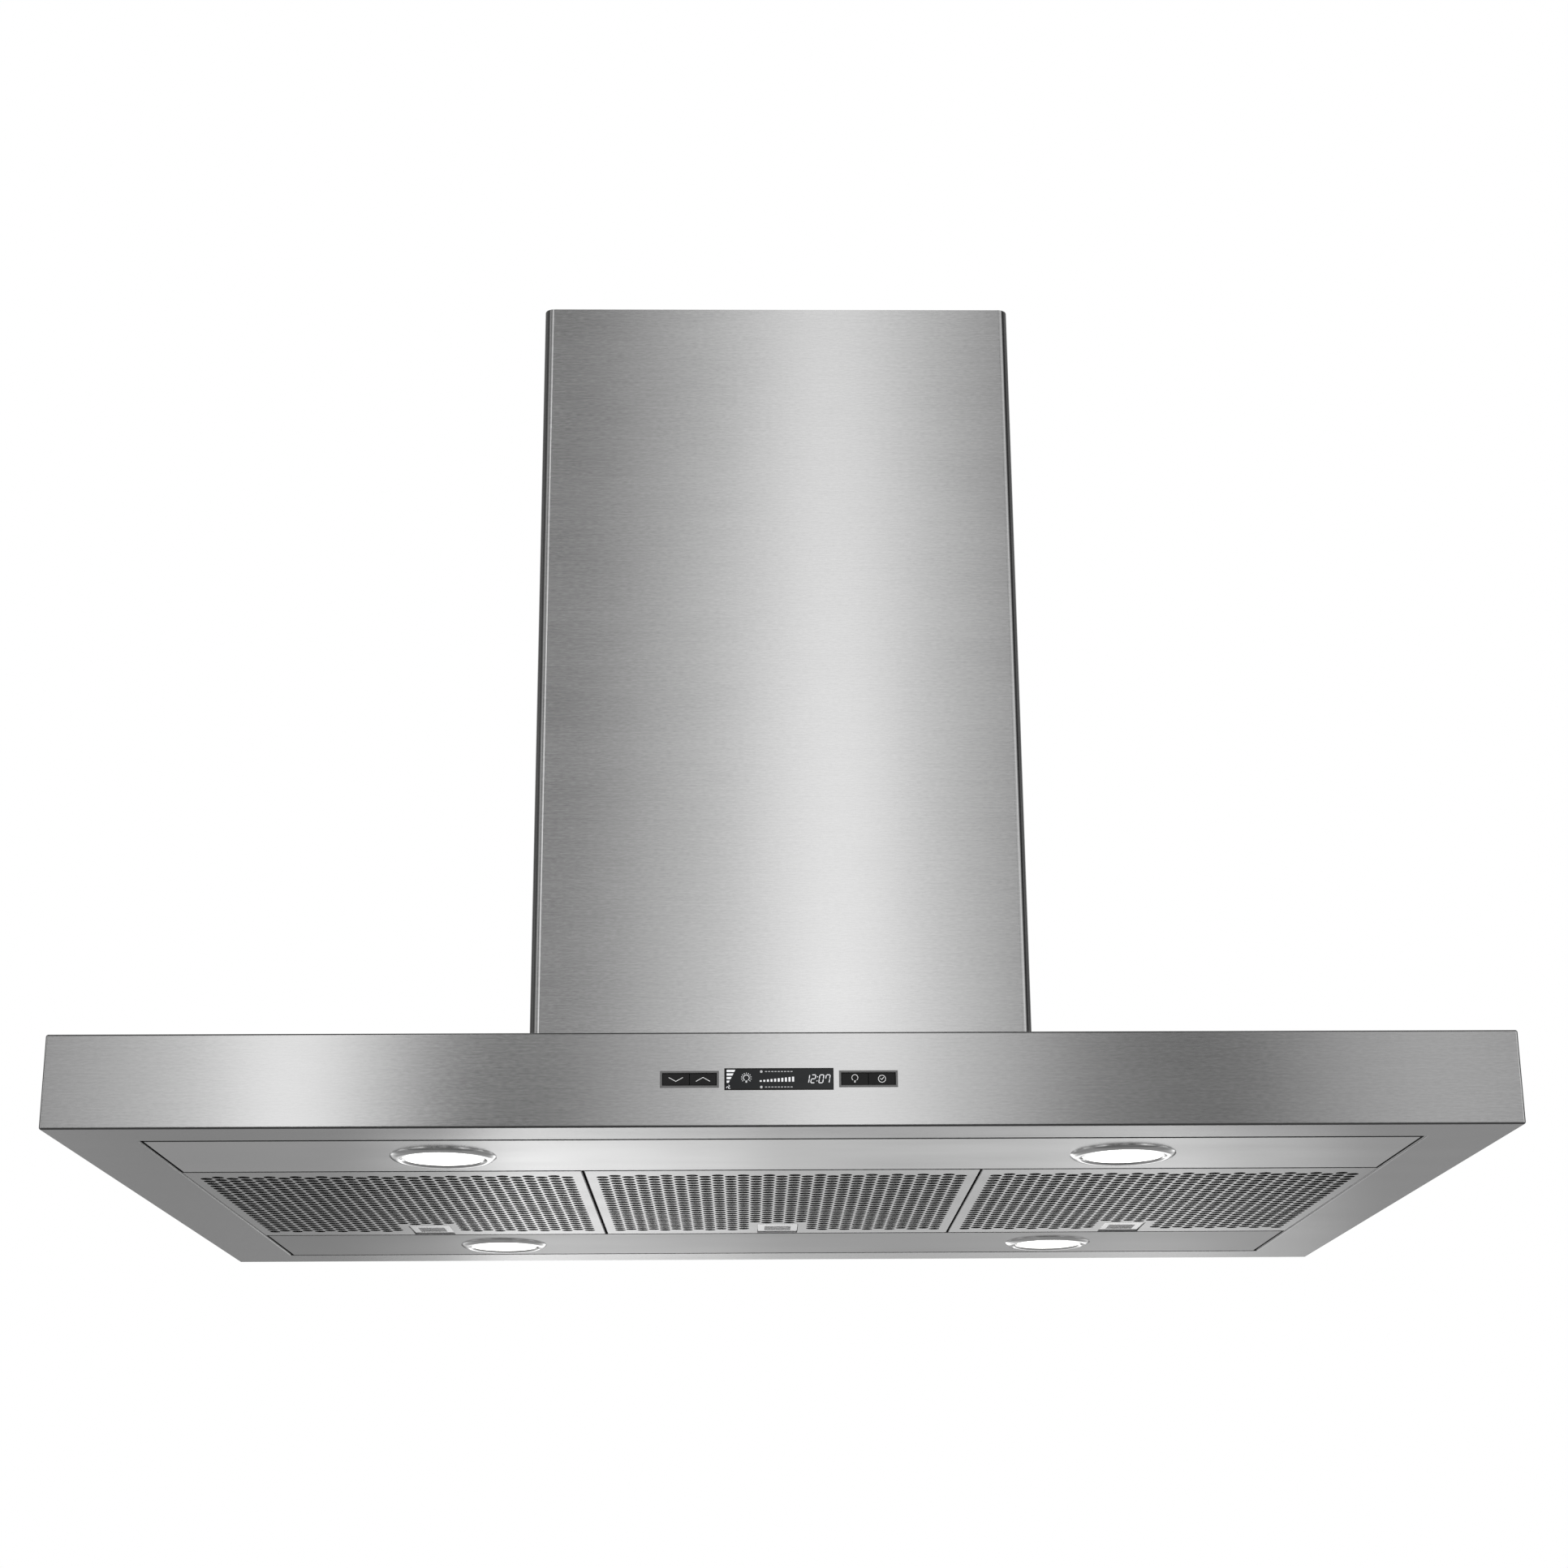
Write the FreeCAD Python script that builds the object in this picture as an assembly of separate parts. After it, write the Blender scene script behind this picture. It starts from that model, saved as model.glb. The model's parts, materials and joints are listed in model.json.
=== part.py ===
import FreeCAD, Part
import math
import os

os.makedirs("parts", exist_ok=True)

# Ceiling-hung island range hood. Millimetres. The origin is the centre of the ceiling plate's top
# face, +Z up, the control panel faces -Y and +X is to the right of someone who faces it.
# Heights called "up" are measured from the underside of the canopy.

# ---- driving dimensions -----------------------------------------------------------------------
HOOD_WIDTH = 1070.0
HOOD_DEPTH = 700.0
HOOD_HEIGHT = 776.0        # ceiling to the underside of the canopy, fully raised
FASCIA_HEIGHT = 70.0
SHEET = 1.2                # canopy sheet
THIN_SHEET = 1.0           # covers and blower sheet
BEND = 1.6                 # outside radius of the underside's folded edges
SHELL_CORNER = 1.8
TOP_FLANGE = 20.0          # the shell's flange round its open top
TOP_LAP = 8.0              # from the shell's outside to the top sheet's edge

CHIMNEY_WIDTH = 410.0
CHIMNEY_DEPTH = 300.0
CHIMNEY_CORNER = 8.0
COVER_GAP = 0.7            # between the nested covers
COVER_SPLIT = 0.15         # half the joint between a front and a back cover
CEILING_GAP = 1.0          # above the lower covers, fully raised
UPPER_COVER_LENGTH = 518.0
COVER_SCREW_Y = (-15.0, 15.0)
COVER_SCREW_RISE = 13.0    # above the canopy's top face
SCREW_RADIUS = 1.5
SCREW_LENGTH = 8.0
SCREW_HEAD = 3.4
SCREW_HEAD_HEIGHT = 1.8
SCREW_RECESS = 0.9         # depth of the cross recess
RECESS_REACH = 1.7
RECESS_HALF = 0.35
COVER_TAB = 1.5            # thickness of the tabs that hold the covers
COVER_TAB_HALF = 28.0
COVER_TAB_HEIGHT = 24.0

BAY_WIDTH = 950.0          # opening in the underside
BAY_DEPTH = 607.0
SEAM = 2.2                 # gap round the light panels
FLANGE_HEIGHT = 12.0       # upturned edges of the rim and the light panels
FILTER_ZONE = 342.0        # depth left for the filters between the light panels
FILTER_COUNT = 3
FILTER_GAP = 1.4
FILTER_DEPTH = 338.5
FILTER_WALL = 14.0
FILTER_SHEET = 0.8
MESH_LAYERS = 4
MESH_LAYER = 0.6
MESH_SPACING = 2.6
MESH_CLEARANCE = 0.6       # from the mesh to the pan's walls
MESH_RISE = 0.4            # from the perforated face to the first layer
FILTER_BEND = 1.2
FILTER_BORDER = 3.0        # plain edge that is folded with the pan's walls
TONGUE_X = 100.0
TONGUE_HALF = 10.0
TONGUE_REACH = 6.5
TONGUE_UP = (1.6, 2.6)
HOLE_PITCH = 11.9
HOLE_RADIUS = 4.8
HOLE_COLUMNS = 29
HOLE_ROWS = 25

LATCH_HALF = 18.0
LATCH_PLATE = 1.0
LATCH_NEAR = 116.2         # y of the latch plate's front edge
LATCH_SIDE_GAP = 0.5
LATCH_SLOT_NEAR = 115.0
LATCH_SLOT_FAR = 167.8
LATCH_UP = 1.2
PLAIN_COLUMNS = 2.5        # hole columns left out on each side of the latch's middle
PLAIN_MARGIN = 9.0         # and in front of it
PULL_HALF = 12.0
PULL_Y = (134.0, 159.0)
PULL_DEPTH = 6.5
PULL_WALL = 0.8
BOLT_HALF = 7.0            # of the latch's bolt
BOLT_UP = (6.0, 7.4)
BOLT_START = 163.5
BOLT_REACH = 0.8           # past the pan's back wall
BOLT_SLOT = (4.8, 8.4)     # up, the slots that it goes through
BOLT_SLOT_HALF = 9.0
GUIDE_X = (16.4, 19.4, 20.4)    # inner edge, outer edge's inside, outside
GUIDE_Y = (110.0, 166.0)
GUIDE_UP = (2.6, 3.6)
KEEPER_HALF = 14.0
CLIP_HALF = 10.0
CLIP_REACH = 6.0           # how far a clip goes over the flanges
CLIP_X = (-400.0, -140.0, 140.0, 400.0)

LAMP_X = 260.0
LAMP_RADIUS = 40.5         # outside of the lamp trim
LENS_RADIUS = 30.9
LAMP_HOLE = 35.0
CAN_HEIGHT = 50.0

CONTROL_X = -5.0
CONTROL_UP = 35.0
DISPLAY_WIDTH = 79.0
DISPLAY_HEIGHT = 16.2
BAR_WIDTH = 42.6
BAR_HEIGHT = 12.4
BAR_OFFSET = 64.7          # from the display's centre to a bar's centre
BEZEL = 1.5
KEY_GAP = 0.35
KEY_DEPTH = (0.25, 3.4, 8.6)    # behind the fascia: cap's face, cap's back, stem's end
BEZEL_PROUD = 0.4
DISPLAY_PROUD = 0.2
HOUSING_DEPTH = 22.0
HOUSING_HEIGHT = 34.0
HOUSING_WALL = 2.0
BOARD_DEPTH = (10.2, 11.8)
KEY_NAMES = ("speed_down", "speed_up", "light", "timer")

FRAME_X = 192.0            # outer faces of the upper uprights
FRAME_Y = 137.0
UPRIGHT_LEG = 30.0
UPRIGHT_WALL = 2.0
UPRIGHT_GAP = 0.5
UPPER_UPRIGHT_END = -650.0
LOWER_UPRIGHT_TOP = -140.0
LOWER_UPRIGHT_LEG = 28.0
TIE_WALL = 1.5
TIE_HEIGHT = 24.0
TIE_DROP = 45.0            # from the lower bolts to the lower ties' bottom
SLOT_HALF = 3.4
SLOT_SPARE = 8.0           # slot beyond the bolts at each end of the travel
BOLT_RADIUS = 3.0
BOLT_LENGTH = 12.0
BOLT_HEAD = 4.0
NUT = 5.0
ACROSS_FLATS = 10.0
WASHER_GAP = 0.4           # from the upright to the nut
BOLT_HEIGHTS = (-160.0, -200.0)
HEIGHT_TRAVEL = 400.0

PLATE = 3.0                # ceiling plate thickness
PLATE_HALF_X = 201.5
PLATE_HALF_Y = 146.5
PLATE_CORNER = 4.0
CEILING_HOLE_X = 165.0
CEILING_HOLE_Y = 105.0
CEILING_HOLE_RADIUS = 4.0
DUCT_OPENING = 112.0
CABLE_X = 168.0
CABLE_HOLE = 14.0
HARNESS_HOLE = 10.0
JUNCTION_UP = (92.0, 150.0)
JUNCTION_DEPTH = 33.0
JUNCTION_HALF = 50.0
KNOCKOUT = 11.1
WIRE_HOLE = 4.0
HARNESS_RADIUS = 3.0

BLOWER_BOX_X = 150.0
BLOWER_BOX_Y = 100.0
BLOWER_TOP = 300.0         # up
BLOWER_FOOT = (9.0, 6.0)   # the box's foot flange, along X and along Y
AIR_HALF_X = 130.0         # air opening in the top sheet
AIR_HALF_Y = 85.0
SCROLL_HALF = 60.0
SCROLL_RADIUS = 88.0
SCROLL_DUCT_FRONT = 10.0   # y of the duct's front wall
SCROLL_FOOT_X = 40.0
SCROLL_FOOT_HALF = 8.0
INLET_RADIUS = 56.0
WHEEL_UP = 170.0
WHEEL_RADIUS = 72.0
WHEEL_HALF = 50.0
WHEEL_RING = (3.0, 11.0)   # the end rings, along the axis and across it
BLADES = 36
BLADE_HALF = 0.5
BLADE_BAND = (10.5, 0.8)   # from the wheel's edge to the blade's inner and outer edges
BLADE_ANGLE = 28.0
SHAFT_RADIUS = 4.0
SHAFT_START = -90.0
SHAFT_LENGTH = 104.0
MOTOR_RADIUS = 40.0
MOTOR_START = -94.0
MOTOR_LENGTH = 86.0
MOTOR_RING = (57.0, 66.0)  # inner and outer radius of the mounting ring
MOTOR_MOUNT = 2.0
COLLAR_RADIUS = 100.0      # fits a 203 mm (8 inch) duct
COLLAR_WALL = 2.0
COLLAR_HEIGHT = 40.0
COLLAR_FLANGE = 112.0
DAMPER_UP = 318.0
DAMPER_ROD = 1.5
DAMPER_RADIUS = 95.5
DAMPER_HALF = 0.5
KNUCKLE_RADIUS = 2.6
KNUCKLE_HALF = 9.0
DAMPER_STOP_DROP = 2.4     # from the rod down to the stop ring

# ---- values worked out from them --------------------------------------------------------------
TOP_SHEET_UP = FASCIA_HEIGHT - 2 * SHEET           # underside of the canopy's top sheet
TOP_FACE_UP = FASCIA_HEIGHT - SHEET                # its top face, where the chimney stands
HALF_X = HOOD_WIDTH / 2
HALF_Y = HOOD_DEPTH / 2
BAY_X = BAY_WIDTH / 2
BAY_Y = BAY_DEPTH / 2
FILTER_PITCH = BAY_WIDTH / FILTER_COUNT
FILTER_X = (FILTER_PITCH - FILTER_GAP) / 2
FILTER_Y = FILTER_DEPTH / 2
COLUMN_PITCH = HOLE_PITCH * math.sqrt(3) / 2
PANEL_INNER = FILTER_ZONE / 2                      # light panel edge beside the filters
PANEL_OUTER = BAY_Y - SEAM
LAMP_Y = (PANEL_INNER + PANEL_OUTER) / 2
COVER_SCREW_UP = TOP_FACE_UP + COVER_SCREW_RISE
BOLT_Y = FRAME_Y - UPRIGHT_LEG / 2
LOWER_X = FRAME_X - UPRIGHT_WALL - UPRIGHT_GAP
LOWER_Y = FRAME_Y - UPRIGHT_WALL - UPRIGHT_GAP
FRONT = -HALF_Y
SIDES = (-1, 1)
CORNERS = {"front_left": (-1, -1), "front_right": (1, -1), "back_left": (-1, 1), "back_right": (1, 1)}


# ---- helpers ----------------------------------------------------------------------------------
def box(x0, x1, y0, y1, z0, z1):
    low = FreeCAD.Vector(min(x0, x1), min(y0, y1), min(z0, z1))
    return Part.makeBox(abs(x1 - x0), abs(y1 - y0), abs(z1 - z0), low)


def cylinder(radius, start, direction, length):
    return Part.makeCylinder(radius, length, FreeCAD.Vector(*start), FreeCAD.Vector(*direction))


def join(shapes):
    first, *rest = shapes
    return first.fuse(rest).removeSplitter() if rest else first


def moved(shape, x=0.0, y=0.0, z=0.0):
    copy = shape.copy()
    copy.translate(FreeCAD.Vector(x, y, z))
    return copy


def turned_about_z(shape, degrees):
    copy = shape.copy()
    copy.rotate(FreeCAD.Vector(0, 0, 0), FreeCAD.Vector(0, 0, 1), degrees)
    return copy


def rounded_prism(half_x, half_y, radius, z0, z1):
    """A block with rounded vertical edges, centred on the Z axis."""
    block = box(-half_x, half_x, -half_y, half_y, z0, z1)
    upright = [e for e in block.Edges if abs(e.Vertexes[0].Z - e.Vertexes[1].Z) > 1e-6]
    return block.makeFillet(radius, upright)


def revolved(points, up=0.0):
    """Turns an outline of (radius, height) points about the Z axis. Three-item points are an arc's
    middle, as (radius, height, "arc")."""
    edges = []
    previous = points[-1]
    middle = None
    for point in points:
        if len(point) == 3:
            middle = point
            continue
        start, end = (FreeCAD.Vector(p[0], 0, p[1]) for p in (previous, point))
        if middle:
            edges.append(Part.Arc(start, FreeCAD.Vector(middle[0], 0, middle[1]), end).toShape())
        else:
            edges.append(Part.LineSegment(start, end).toShape())
        previous = point
        middle = None
    face = Part.Face(Part.Wire(edges))
    solid = face.revolve(FreeCAD.Vector(0, 0, 0), FreeCAD.Vector(0, 0, 1), 360)
    return moved(solid, z=up)


def edges_at(shape, height):
    """The edges that lie flat at that height."""
    return [e for e in shape.Edges if abs(e.BoundBox.ZMin - height) < 1e-6 and e.BoundBox.ZLength < 1e-6]


def save(node, shapes):
    shape = shapes[0] if len(shapes) == 1 else Part.makeCompound(shapes)
    shape.exportStep(f"parts/{node}.step")


def save_on_ceiling(node, *shapes):
    save(node, shapes)


def save_on_hood(node, *shapes):
    """Shapes drawn with heights above the canopy's underside."""
    save(node, [moved(shape, z=-HOOD_HEIGHT) for shape in shapes])


# ---- ceiling frame ----------------------------------------------------------------------------
def angle_upright(side_x, side_y, outer_x, outer_y, leg, z0, z1):
    """An L-section post in the corner named by the signs of side_x and side_y."""
    along_y = box(side_x * outer_x, side_x * (outer_x - UPRIGHT_WALL),
                  side_y * outer_y, side_y * (outer_y - leg), z0, z1)
    along_x = box(side_x * outer_x, side_x * (outer_x - leg),
                  side_y * outer_y, side_y * (outer_y - UPRIGHT_WALL), z0, z1)
    return join([along_y, along_x])


def ceiling_plate():
    plate = rounded_prism(PLATE_HALF_X, PLATE_HALF_Y, PLATE_CORNER, -PLATE, 0)
    places = [(0, 0, DUCT_OPENING), (CABLE_X, 0, CABLE_HOLE)]
    places += [(sx * CEILING_HOLE_X, sy * CEILING_HOLE_Y, CEILING_HOLE_RADIUS) for sx, sy in CORNERS.values()]
    holes = [cylinder(radius, (x, y, -PLATE), (0, 0, 1), PLATE) for x, y, radius in places]
    save_on_ceiling("ceiling_plate", plate.cut(holes))


def upper_uprights():
    slot_top = BOLT_HEIGHTS[0] + SLOT_SPARE
    slot_end = BOLT_HEIGHTS[1] - HEIGHT_TRAVEL - SLOT_SPARE
    for corner, (sx, sy) in CORNERS.items():
        post = angle_upright(sx, sy, FRAME_X, FRAME_Y, UPRIGHT_LEG, UPPER_UPRIGHT_END, -PLATE)
        slot = box(sx * (FRAME_X - UPRIGHT_WALL - 1), sx * (FRAME_X + 1),
                   sy * BOLT_Y - SLOT_HALF, sy * BOLT_Y + SLOT_HALF, slot_end, slot_top)
        save_on_ceiling(f"upper_upright_{corner}", post.cut(slot))


def rectangle_of_bars(outer_x, outer_y, wall, z0, z1):
    """Four flat bars on edge, meeting at the corners."""
    outer = box(-outer_x, outer_x, -outer_y, outer_y, z0, z1)
    inner = box(-outer_x + wall, outer_x - wall, -outer_y + wall, outer_y - wall, z0, z1)
    return outer.cut(inner)


def upper_frame_ties():
    bars = rectangle_of_bars(FRAME_X + TIE_WALL, FRAME_Y + TIE_WALL, TIE_WALL, UPPER_UPRIGHT_END,
                             UPPER_UPRIGHT_END + TIE_HEIGHT)
    save_on_ceiling("upper_frame_ties", bars)


def cover_halves(half_x, half_y, corner, z0, z1):
    """A rounded tube of thin sheet, split at y = 0 into a front and a back half."""
    outer = rounded_prism(half_x, half_y, corner, z0, z1)
    inner = rounded_prism(half_x - THIN_SHEET, half_y - THIN_SHEET, corner - THIN_SHEET, z0, z1)
    tube = outer.cut(inner)
    front = tube.common(box(-half_x, half_x, -half_y, -COVER_SPLIT, z0, z1))
    back = tube.common(box(-half_x, half_x, COVER_SPLIT, half_y, z0, z1))
    return front, back


def upper_covers():
    inset = THIN_SHEET + COVER_GAP
    top = -2 * CEILING_GAP
    front, back = cover_halves(CHIMNEY_WIDTH / 2 - inset, CHIMNEY_DEPTH / 2 - inset, CHIMNEY_CORNER - inset,
                               top - UPPER_COVER_LENGTH, top)
    save_on_ceiling("upper_cover_front", front)
    save_on_ceiling("upper_cover_back", back)


# ---- hood frame and covers --------------------------------------------------------------------
def lower_uprights():
    for corner, (sx, sy) in CORNERS.items():
        post = angle_upright(sx, sy, LOWER_X, LOWER_Y, LOWER_UPRIGHT_LEG, TOP_FACE_UP - HOOD_HEIGHT,
                             LOWER_UPRIGHT_TOP)
        inside = sx * (LOWER_X - UPRIGHT_WALL - 1)
        holes = [cylinder(BOLT_RADIUS, (inside, sy * BOLT_Y, z), (sx, 0, 0), UPRIGHT_WALL + 2)
                 for z in BOLT_HEIGHTS]
        save_on_ceiling(f"lower_upright_{corner}", post.cut(holes))


def lower_frame_ties():
    bottom = BOLT_HEIGHTS[1] - TIE_DROP
    bars = rectangle_of_bars(LOWER_X - UPRIGHT_WALL, LOWER_Y - UPRIGHT_WALL, TIE_WALL, bottom,
                             bottom + TIE_HEIGHT)
    save_on_ceiling("lower_frame_ties", bars)


def hexagon(across_flats, start, direction, length):
    """A hexagonal prism along +X or -X."""
    x, y, z = start
    reach = across_flats / math.sqrt(3)
    corners = [FreeCAD.Vector(x, y + reach * math.cos(a), z + reach * math.sin(a))
               for a in (math.radians(60 * step) for step in range(7))]
    face = Part.Face(Part.makePolygon(corners))
    return face.extrude(FreeCAD.Vector(direction * length, 0, 0))


def frame_bolts():
    bolts = []
    for sx, sy in CORNERS.values():
        for z in BOLT_HEIGHTS:
            seat = (sx * (LOWER_X - UPRIGHT_WALL), sy * BOLT_Y, z)
            shank = cylinder(BOLT_RADIUS, seat, (sx, 0, 0), BOLT_LENGTH)
            head = hexagon(ACROSS_FLATS, seat, -sx, BOLT_HEAD)
            nut = hexagon(ACROSS_FLATS, (sx * (FRAME_X + WASHER_GAP), sy * BOLT_Y, z), sx, NUT)
            bolts.append(join([shank, head, nut]))
    save_on_ceiling("frame_bolts", *bolts)


def cover_screw_holes():
    """Cutters through the covers and the tabs behind them, at heights above the canopy's underside."""
    start = CHIMNEY_WIDTH / 2 - 15
    return [cylinder(SCREW_RADIUS, (sx * start, y, COVER_SCREW_UP), (sx, 0, 0), 30)
            for sx in SIDES for y in COVER_SCREW_Y]


def lower_covers():
    covers = cover_halves(CHIMNEY_WIDTH / 2, CHIMNEY_DEPTH / 2, CHIMNEY_CORNER, TOP_FACE_UP,
                          HOOD_HEIGHT - CEILING_GAP)
    for name, cover in zip(("front", "back"), covers):
        save_on_hood(f"lower_cover_{name}", cover.cut(cover_screw_holes()))


def cover_screw(side, y):
    """Domed head with a cross recess, and a plain shank through the cover and its tab."""
    face = side * CHIMNEY_WIDTH / 2
    centre = (face, y, COVER_SCREW_UP)
    head = cylinder(SCREW_HEAD, centre, (side, 0, 0), SCREW_HEAD_HEIGHT)
    rim = [e for e in head.Edges if abs(e.BoundBox.XMin - face) > 1 and e.BoundBox.XLength < 0.01]
    head = head.makeFillet(1.2, rim)
    bottom = face + side * (SCREW_HEAD_HEIGHT - SCREW_RECESS)
    arms = [box(bottom, bottom + side * 2, y - reach_y, y + reach_y, COVER_SCREW_UP - reach_z,
                COVER_SCREW_UP + reach_z)
            for reach_y, reach_z in ((RECESS_REACH, RECESS_HALF), (RECESS_HALF, RECESS_REACH))]
    shank = cylinder(SCREW_RADIUS, centre, (-side, 0, 0), SCREW_LENGTH)
    return join([head.cut(join(arms)), shank])


def cover_screws():
    save_on_hood("cover_screws", *[cover_screw(side, y) for side in SIDES for y in COVER_SCREW_Y])


# ---- canopy -----------------------------------------------------------------------------------
def fascia_block(x, width, height, y0, y1):
    """A block centred on the control row. y0 and y1 are depths behind the fascia's face."""
    low = CONTROL_UP - height / 2
    return box(x - width / 2, x + width / 2, FRONT + y0, FRONT + y1, low, low + height)


def canopy_shell():
    """Fascia, underside rim and top flange, folded from one sheet."""
    outer = box(-HALF_X, HALF_X, -HALF_Y, HALF_Y, 0, FASCIA_HEIGHT)
    outer = outer.makeFillet(SHELL_CORNER, outer.Edges)
    inner = box(-HALF_X + SHEET, HALF_X - SHEET, -HALF_Y + SHEET, HALF_Y - SHEET, SHEET, TOP_FACE_UP)
    mouth = box(-HALF_X + TOP_FLANGE, HALF_X - TOP_FLANGE, -HALF_Y + TOP_FLANGE, HALF_Y - TOP_FLANGE,
                TOP_FACE_UP - 1, FASCIA_HEIGHT + 1)
    bay_rim = box(-BAY_X - SHEET, BAY_X + SHEET, -BAY_Y - SHEET, BAY_Y + SHEET, SHEET / 2, FLANGE_HEIGHT)
    bay = box(-BAY_X, BAY_X, -BAY_Y, BAY_Y, -1, FLANGE_HEIGHT + 1)
    shell = outer.cut([inner, mouth]).fuse(bay_rim).removeSplitter().cut(bay)
    folded = [e for e in edges_at(shell, 0.0) if max(abs(e.BoundBox.XMax), abs(e.BoundBox.XMin)) < BAY_X + 1]
    shell = shell.makeFillet(BEND, [e for e in folded if abs(e.BoundBox.Center.y) < BAY_Y + 1])
    openings = [fascia_block(CONTROL_X + side * BAR_OFFSET, BAR_WIDTH, BAR_HEIGHT, -1, 3) for side in SIDES]
    openings.append(fascia_block(CONTROL_X, DISPLAY_WIDTH, DISPLAY_HEIGHT, -1, 3))
    save_on_hood("canopy_shell", shell.cut(openings))


def canopy_top():
    """Top sheet under the shell's flange, with the air opening, a hole for the wires, and two tabs
    that the chimney covers are screwed to."""
    sheet = box(-HALF_X + TOP_LAP, HALF_X - TOP_LAP, -HALF_Y + TOP_LAP, HALF_Y - TOP_LAP, TOP_SHEET_UP,
                TOP_FACE_UP)
    air = box(-AIR_HALF_X, AIR_HALF_X, -AIR_HALF_Y, AIR_HALF_Y, TOP_SHEET_UP - 1, TOP_FACE_UP + 1)
    wires = cylinder(HARNESS_HOLE, (CABLE_X, 0, TOP_SHEET_UP - 1), (0, 0, 1), SHEET + 2)
    tab_face = CHIMNEY_WIDTH / 2 - THIN_SHEET
    tabs = [box(sx * tab_face, sx * (tab_face - COVER_TAB), -COVER_TAB_HALF, COVER_TAB_HALF, TOP_SHEET_UP,
                TOP_FACE_UP + COVER_TAB_HEIGHT) for sx in SIDES]
    save_on_hood("canopy_top", join([sheet, *tabs]).cut([air, wires, *cover_screw_holes()]))


def filter_centres():
    return [(index - (FILTER_COUNT - 1) / 2) * FILTER_PITCH for index in range(FILTER_COUNT)]


def light_panels():
    """Folded trays on each side of the filters. The front one is notched for the filters' tongues
    and the back one for their latch bolts."""
    half = BAY_X - SEAM
    tray = box(-half, half, PANEL_INNER, PANEL_OUTER, 0, FLANGE_HEIGHT)
    tray = tray.makeFillet(BEND, edges_at(tray, 0.0))
    tray = tray.cut(box(-half + SHEET, half - SHEET, PANEL_INNER + SHEET, PANEL_OUTER - SHEET, SHEET,
                        FLANGE_HEIGHT + 1))
    tray = tray.cut([cylinder(LAMP_HOLE, (sx * LAMP_X, LAMP_Y, -1), (0, 0, 1), SHEET + 2) for sx in SIDES])

    def notches(centres, half_width, low, high):
        return [box(x - half_width, x + half_width, PANEL_INNER - 1, PANEL_INNER + SHEET + 1, low, high)
                for x in centres]

    tongues = [x + side * TONGUE_X for x in filter_centres() for side in SIDES]
    tongue_notches = notches(tongues, TONGUE_HALF + 1, SHEET, FLANGE_HEIGHT + 1)
    bolt_notches = notches(filter_centres(), BOLT_SLOT_HALF, *BOLT_SLOT)
    save_on_hood("light_panel_front", turned_about_z(tray.cut(tongue_notches), 180))
    save_on_hood("light_panel_back", tray.cut(bolt_notches))


def latch_keepers():
    """Striker plates behind the back light panel's edge, one for each filter latch."""
    face = PANEL_INNER + SHEET
    keeper = box(-KEEPER_HALF, KEEPER_HALF, face, face + SHEET, SHEET, FLANGE_HEIGHT - 1)
    keeper = keeper.cut(box(-BOLT_SLOT_HALF, BOLT_SLOT_HALF, face - 1, face + SHEET + 1, *BOLT_SLOT))
    save_on_hood("latch_keepers", *[moved(keeper, x=x) for x in filter_centres()])


def panel_clips():
    """Spring clips pressed over the edges of the rim and the light panels, to hold them together."""
    inner = PANEL_OUTER - SHEET
    outer = BAY_Y + SHEET
    clip = box(-CLIP_HALF, CLIP_HALF, inner - SHEET, outer + SHEET, FLANGE_HEIGHT - CLIP_REACH,
               FLANGE_HEIGHT + SHEET)
    clip = clip.cut(box(-CLIP_HALF - 1, CLIP_HALF + 1, inner, outer, 0, FLANGE_HEIGHT))
    clips = [moved(clip, x=x) for x in CLIP_X]
    clips += [turned_about_z(c, 180) for c in clips]
    side_clip = moved(turned_about_z(clip, -90), x=BAY_X - BAY_Y)
    for sy in SIDES:
        right = moved(side_clip, y=sy * LAMP_Y)
        clips += [right, turned_about_z(right, 180)]
    save_on_hood("panel_clips", *clips)


# ---- lamps ------------------------------------------------------------------------------------
def lamp_trim_solid():
    """Domed ring that stands below the panel, with a sleeve up through it and a small tab that keeps
    the lens in."""
    sleeve = LENS_RADIUS + 0.1
    ring = revolved([(LAMP_RADIUS, 0), (LAMP_RADIUS, -0.7), (38.2, -2.5, "arc"), (34.2, -3.3),
                     (32.4, -2.9, "arc"), (sleeve, -1.6), (sleeve, 6), (LAMP_HOLE - 1, 6), (LAMP_HOLE - 1, 0)])
    tab = box(-sleeve - 0.5, -sleeve + 2.6, -2.6, 2.6, -1.9, -1.0)
    return join([ring, tab])


def lamps():
    trim = lamp_trim_solid()
    lens = revolved([(0, -0.9), (LENS_RADIUS - 9, -0.75, "arc"), (LENS_RADIUS, -0.1), (LENS_RADIUS, 2.2),
                     (0, 2.2)])
    outside = LAMP_HOLE + 2.0
    ceiling = CAN_HEIGHT - SHEET
    can = revolved([(outside, SHEET), (outside, 46), (12, CAN_HEIGHT), (0, CAN_HEIGHT), (0, ceiling),
                    (11.6, ceiling), (outside - 1, 45.2), (outside - 1, SHEET + 1), (LAMP_HOLE, SHEET + 1),
                    (LAMP_HOLE, SHEET)])
    bulb = revolved([(0, 22), (24, 22), (25, 24), (25, 30), (14, 40), (10, ceiling), (0, ceiling)])
    cans = []
    bulbs = []
    for corner, (sx, sy) in CORNERS.items():
        place = {"x": sx * LAMP_X, "y": sy * LAMP_Y}
        save_on_hood(f"lamp_trim_{corner}", moved(trim, **place))
        save_on_hood(f"lamp_lens_{corner}", moved(lens, **place))
        cans.append(moved(can, **place))
        bulbs.append(moved(bulb, **place))
    save_on_hood("lamp_cans", *cans)
    save_on_hood("lamp_bulbs", *bulbs)


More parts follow.
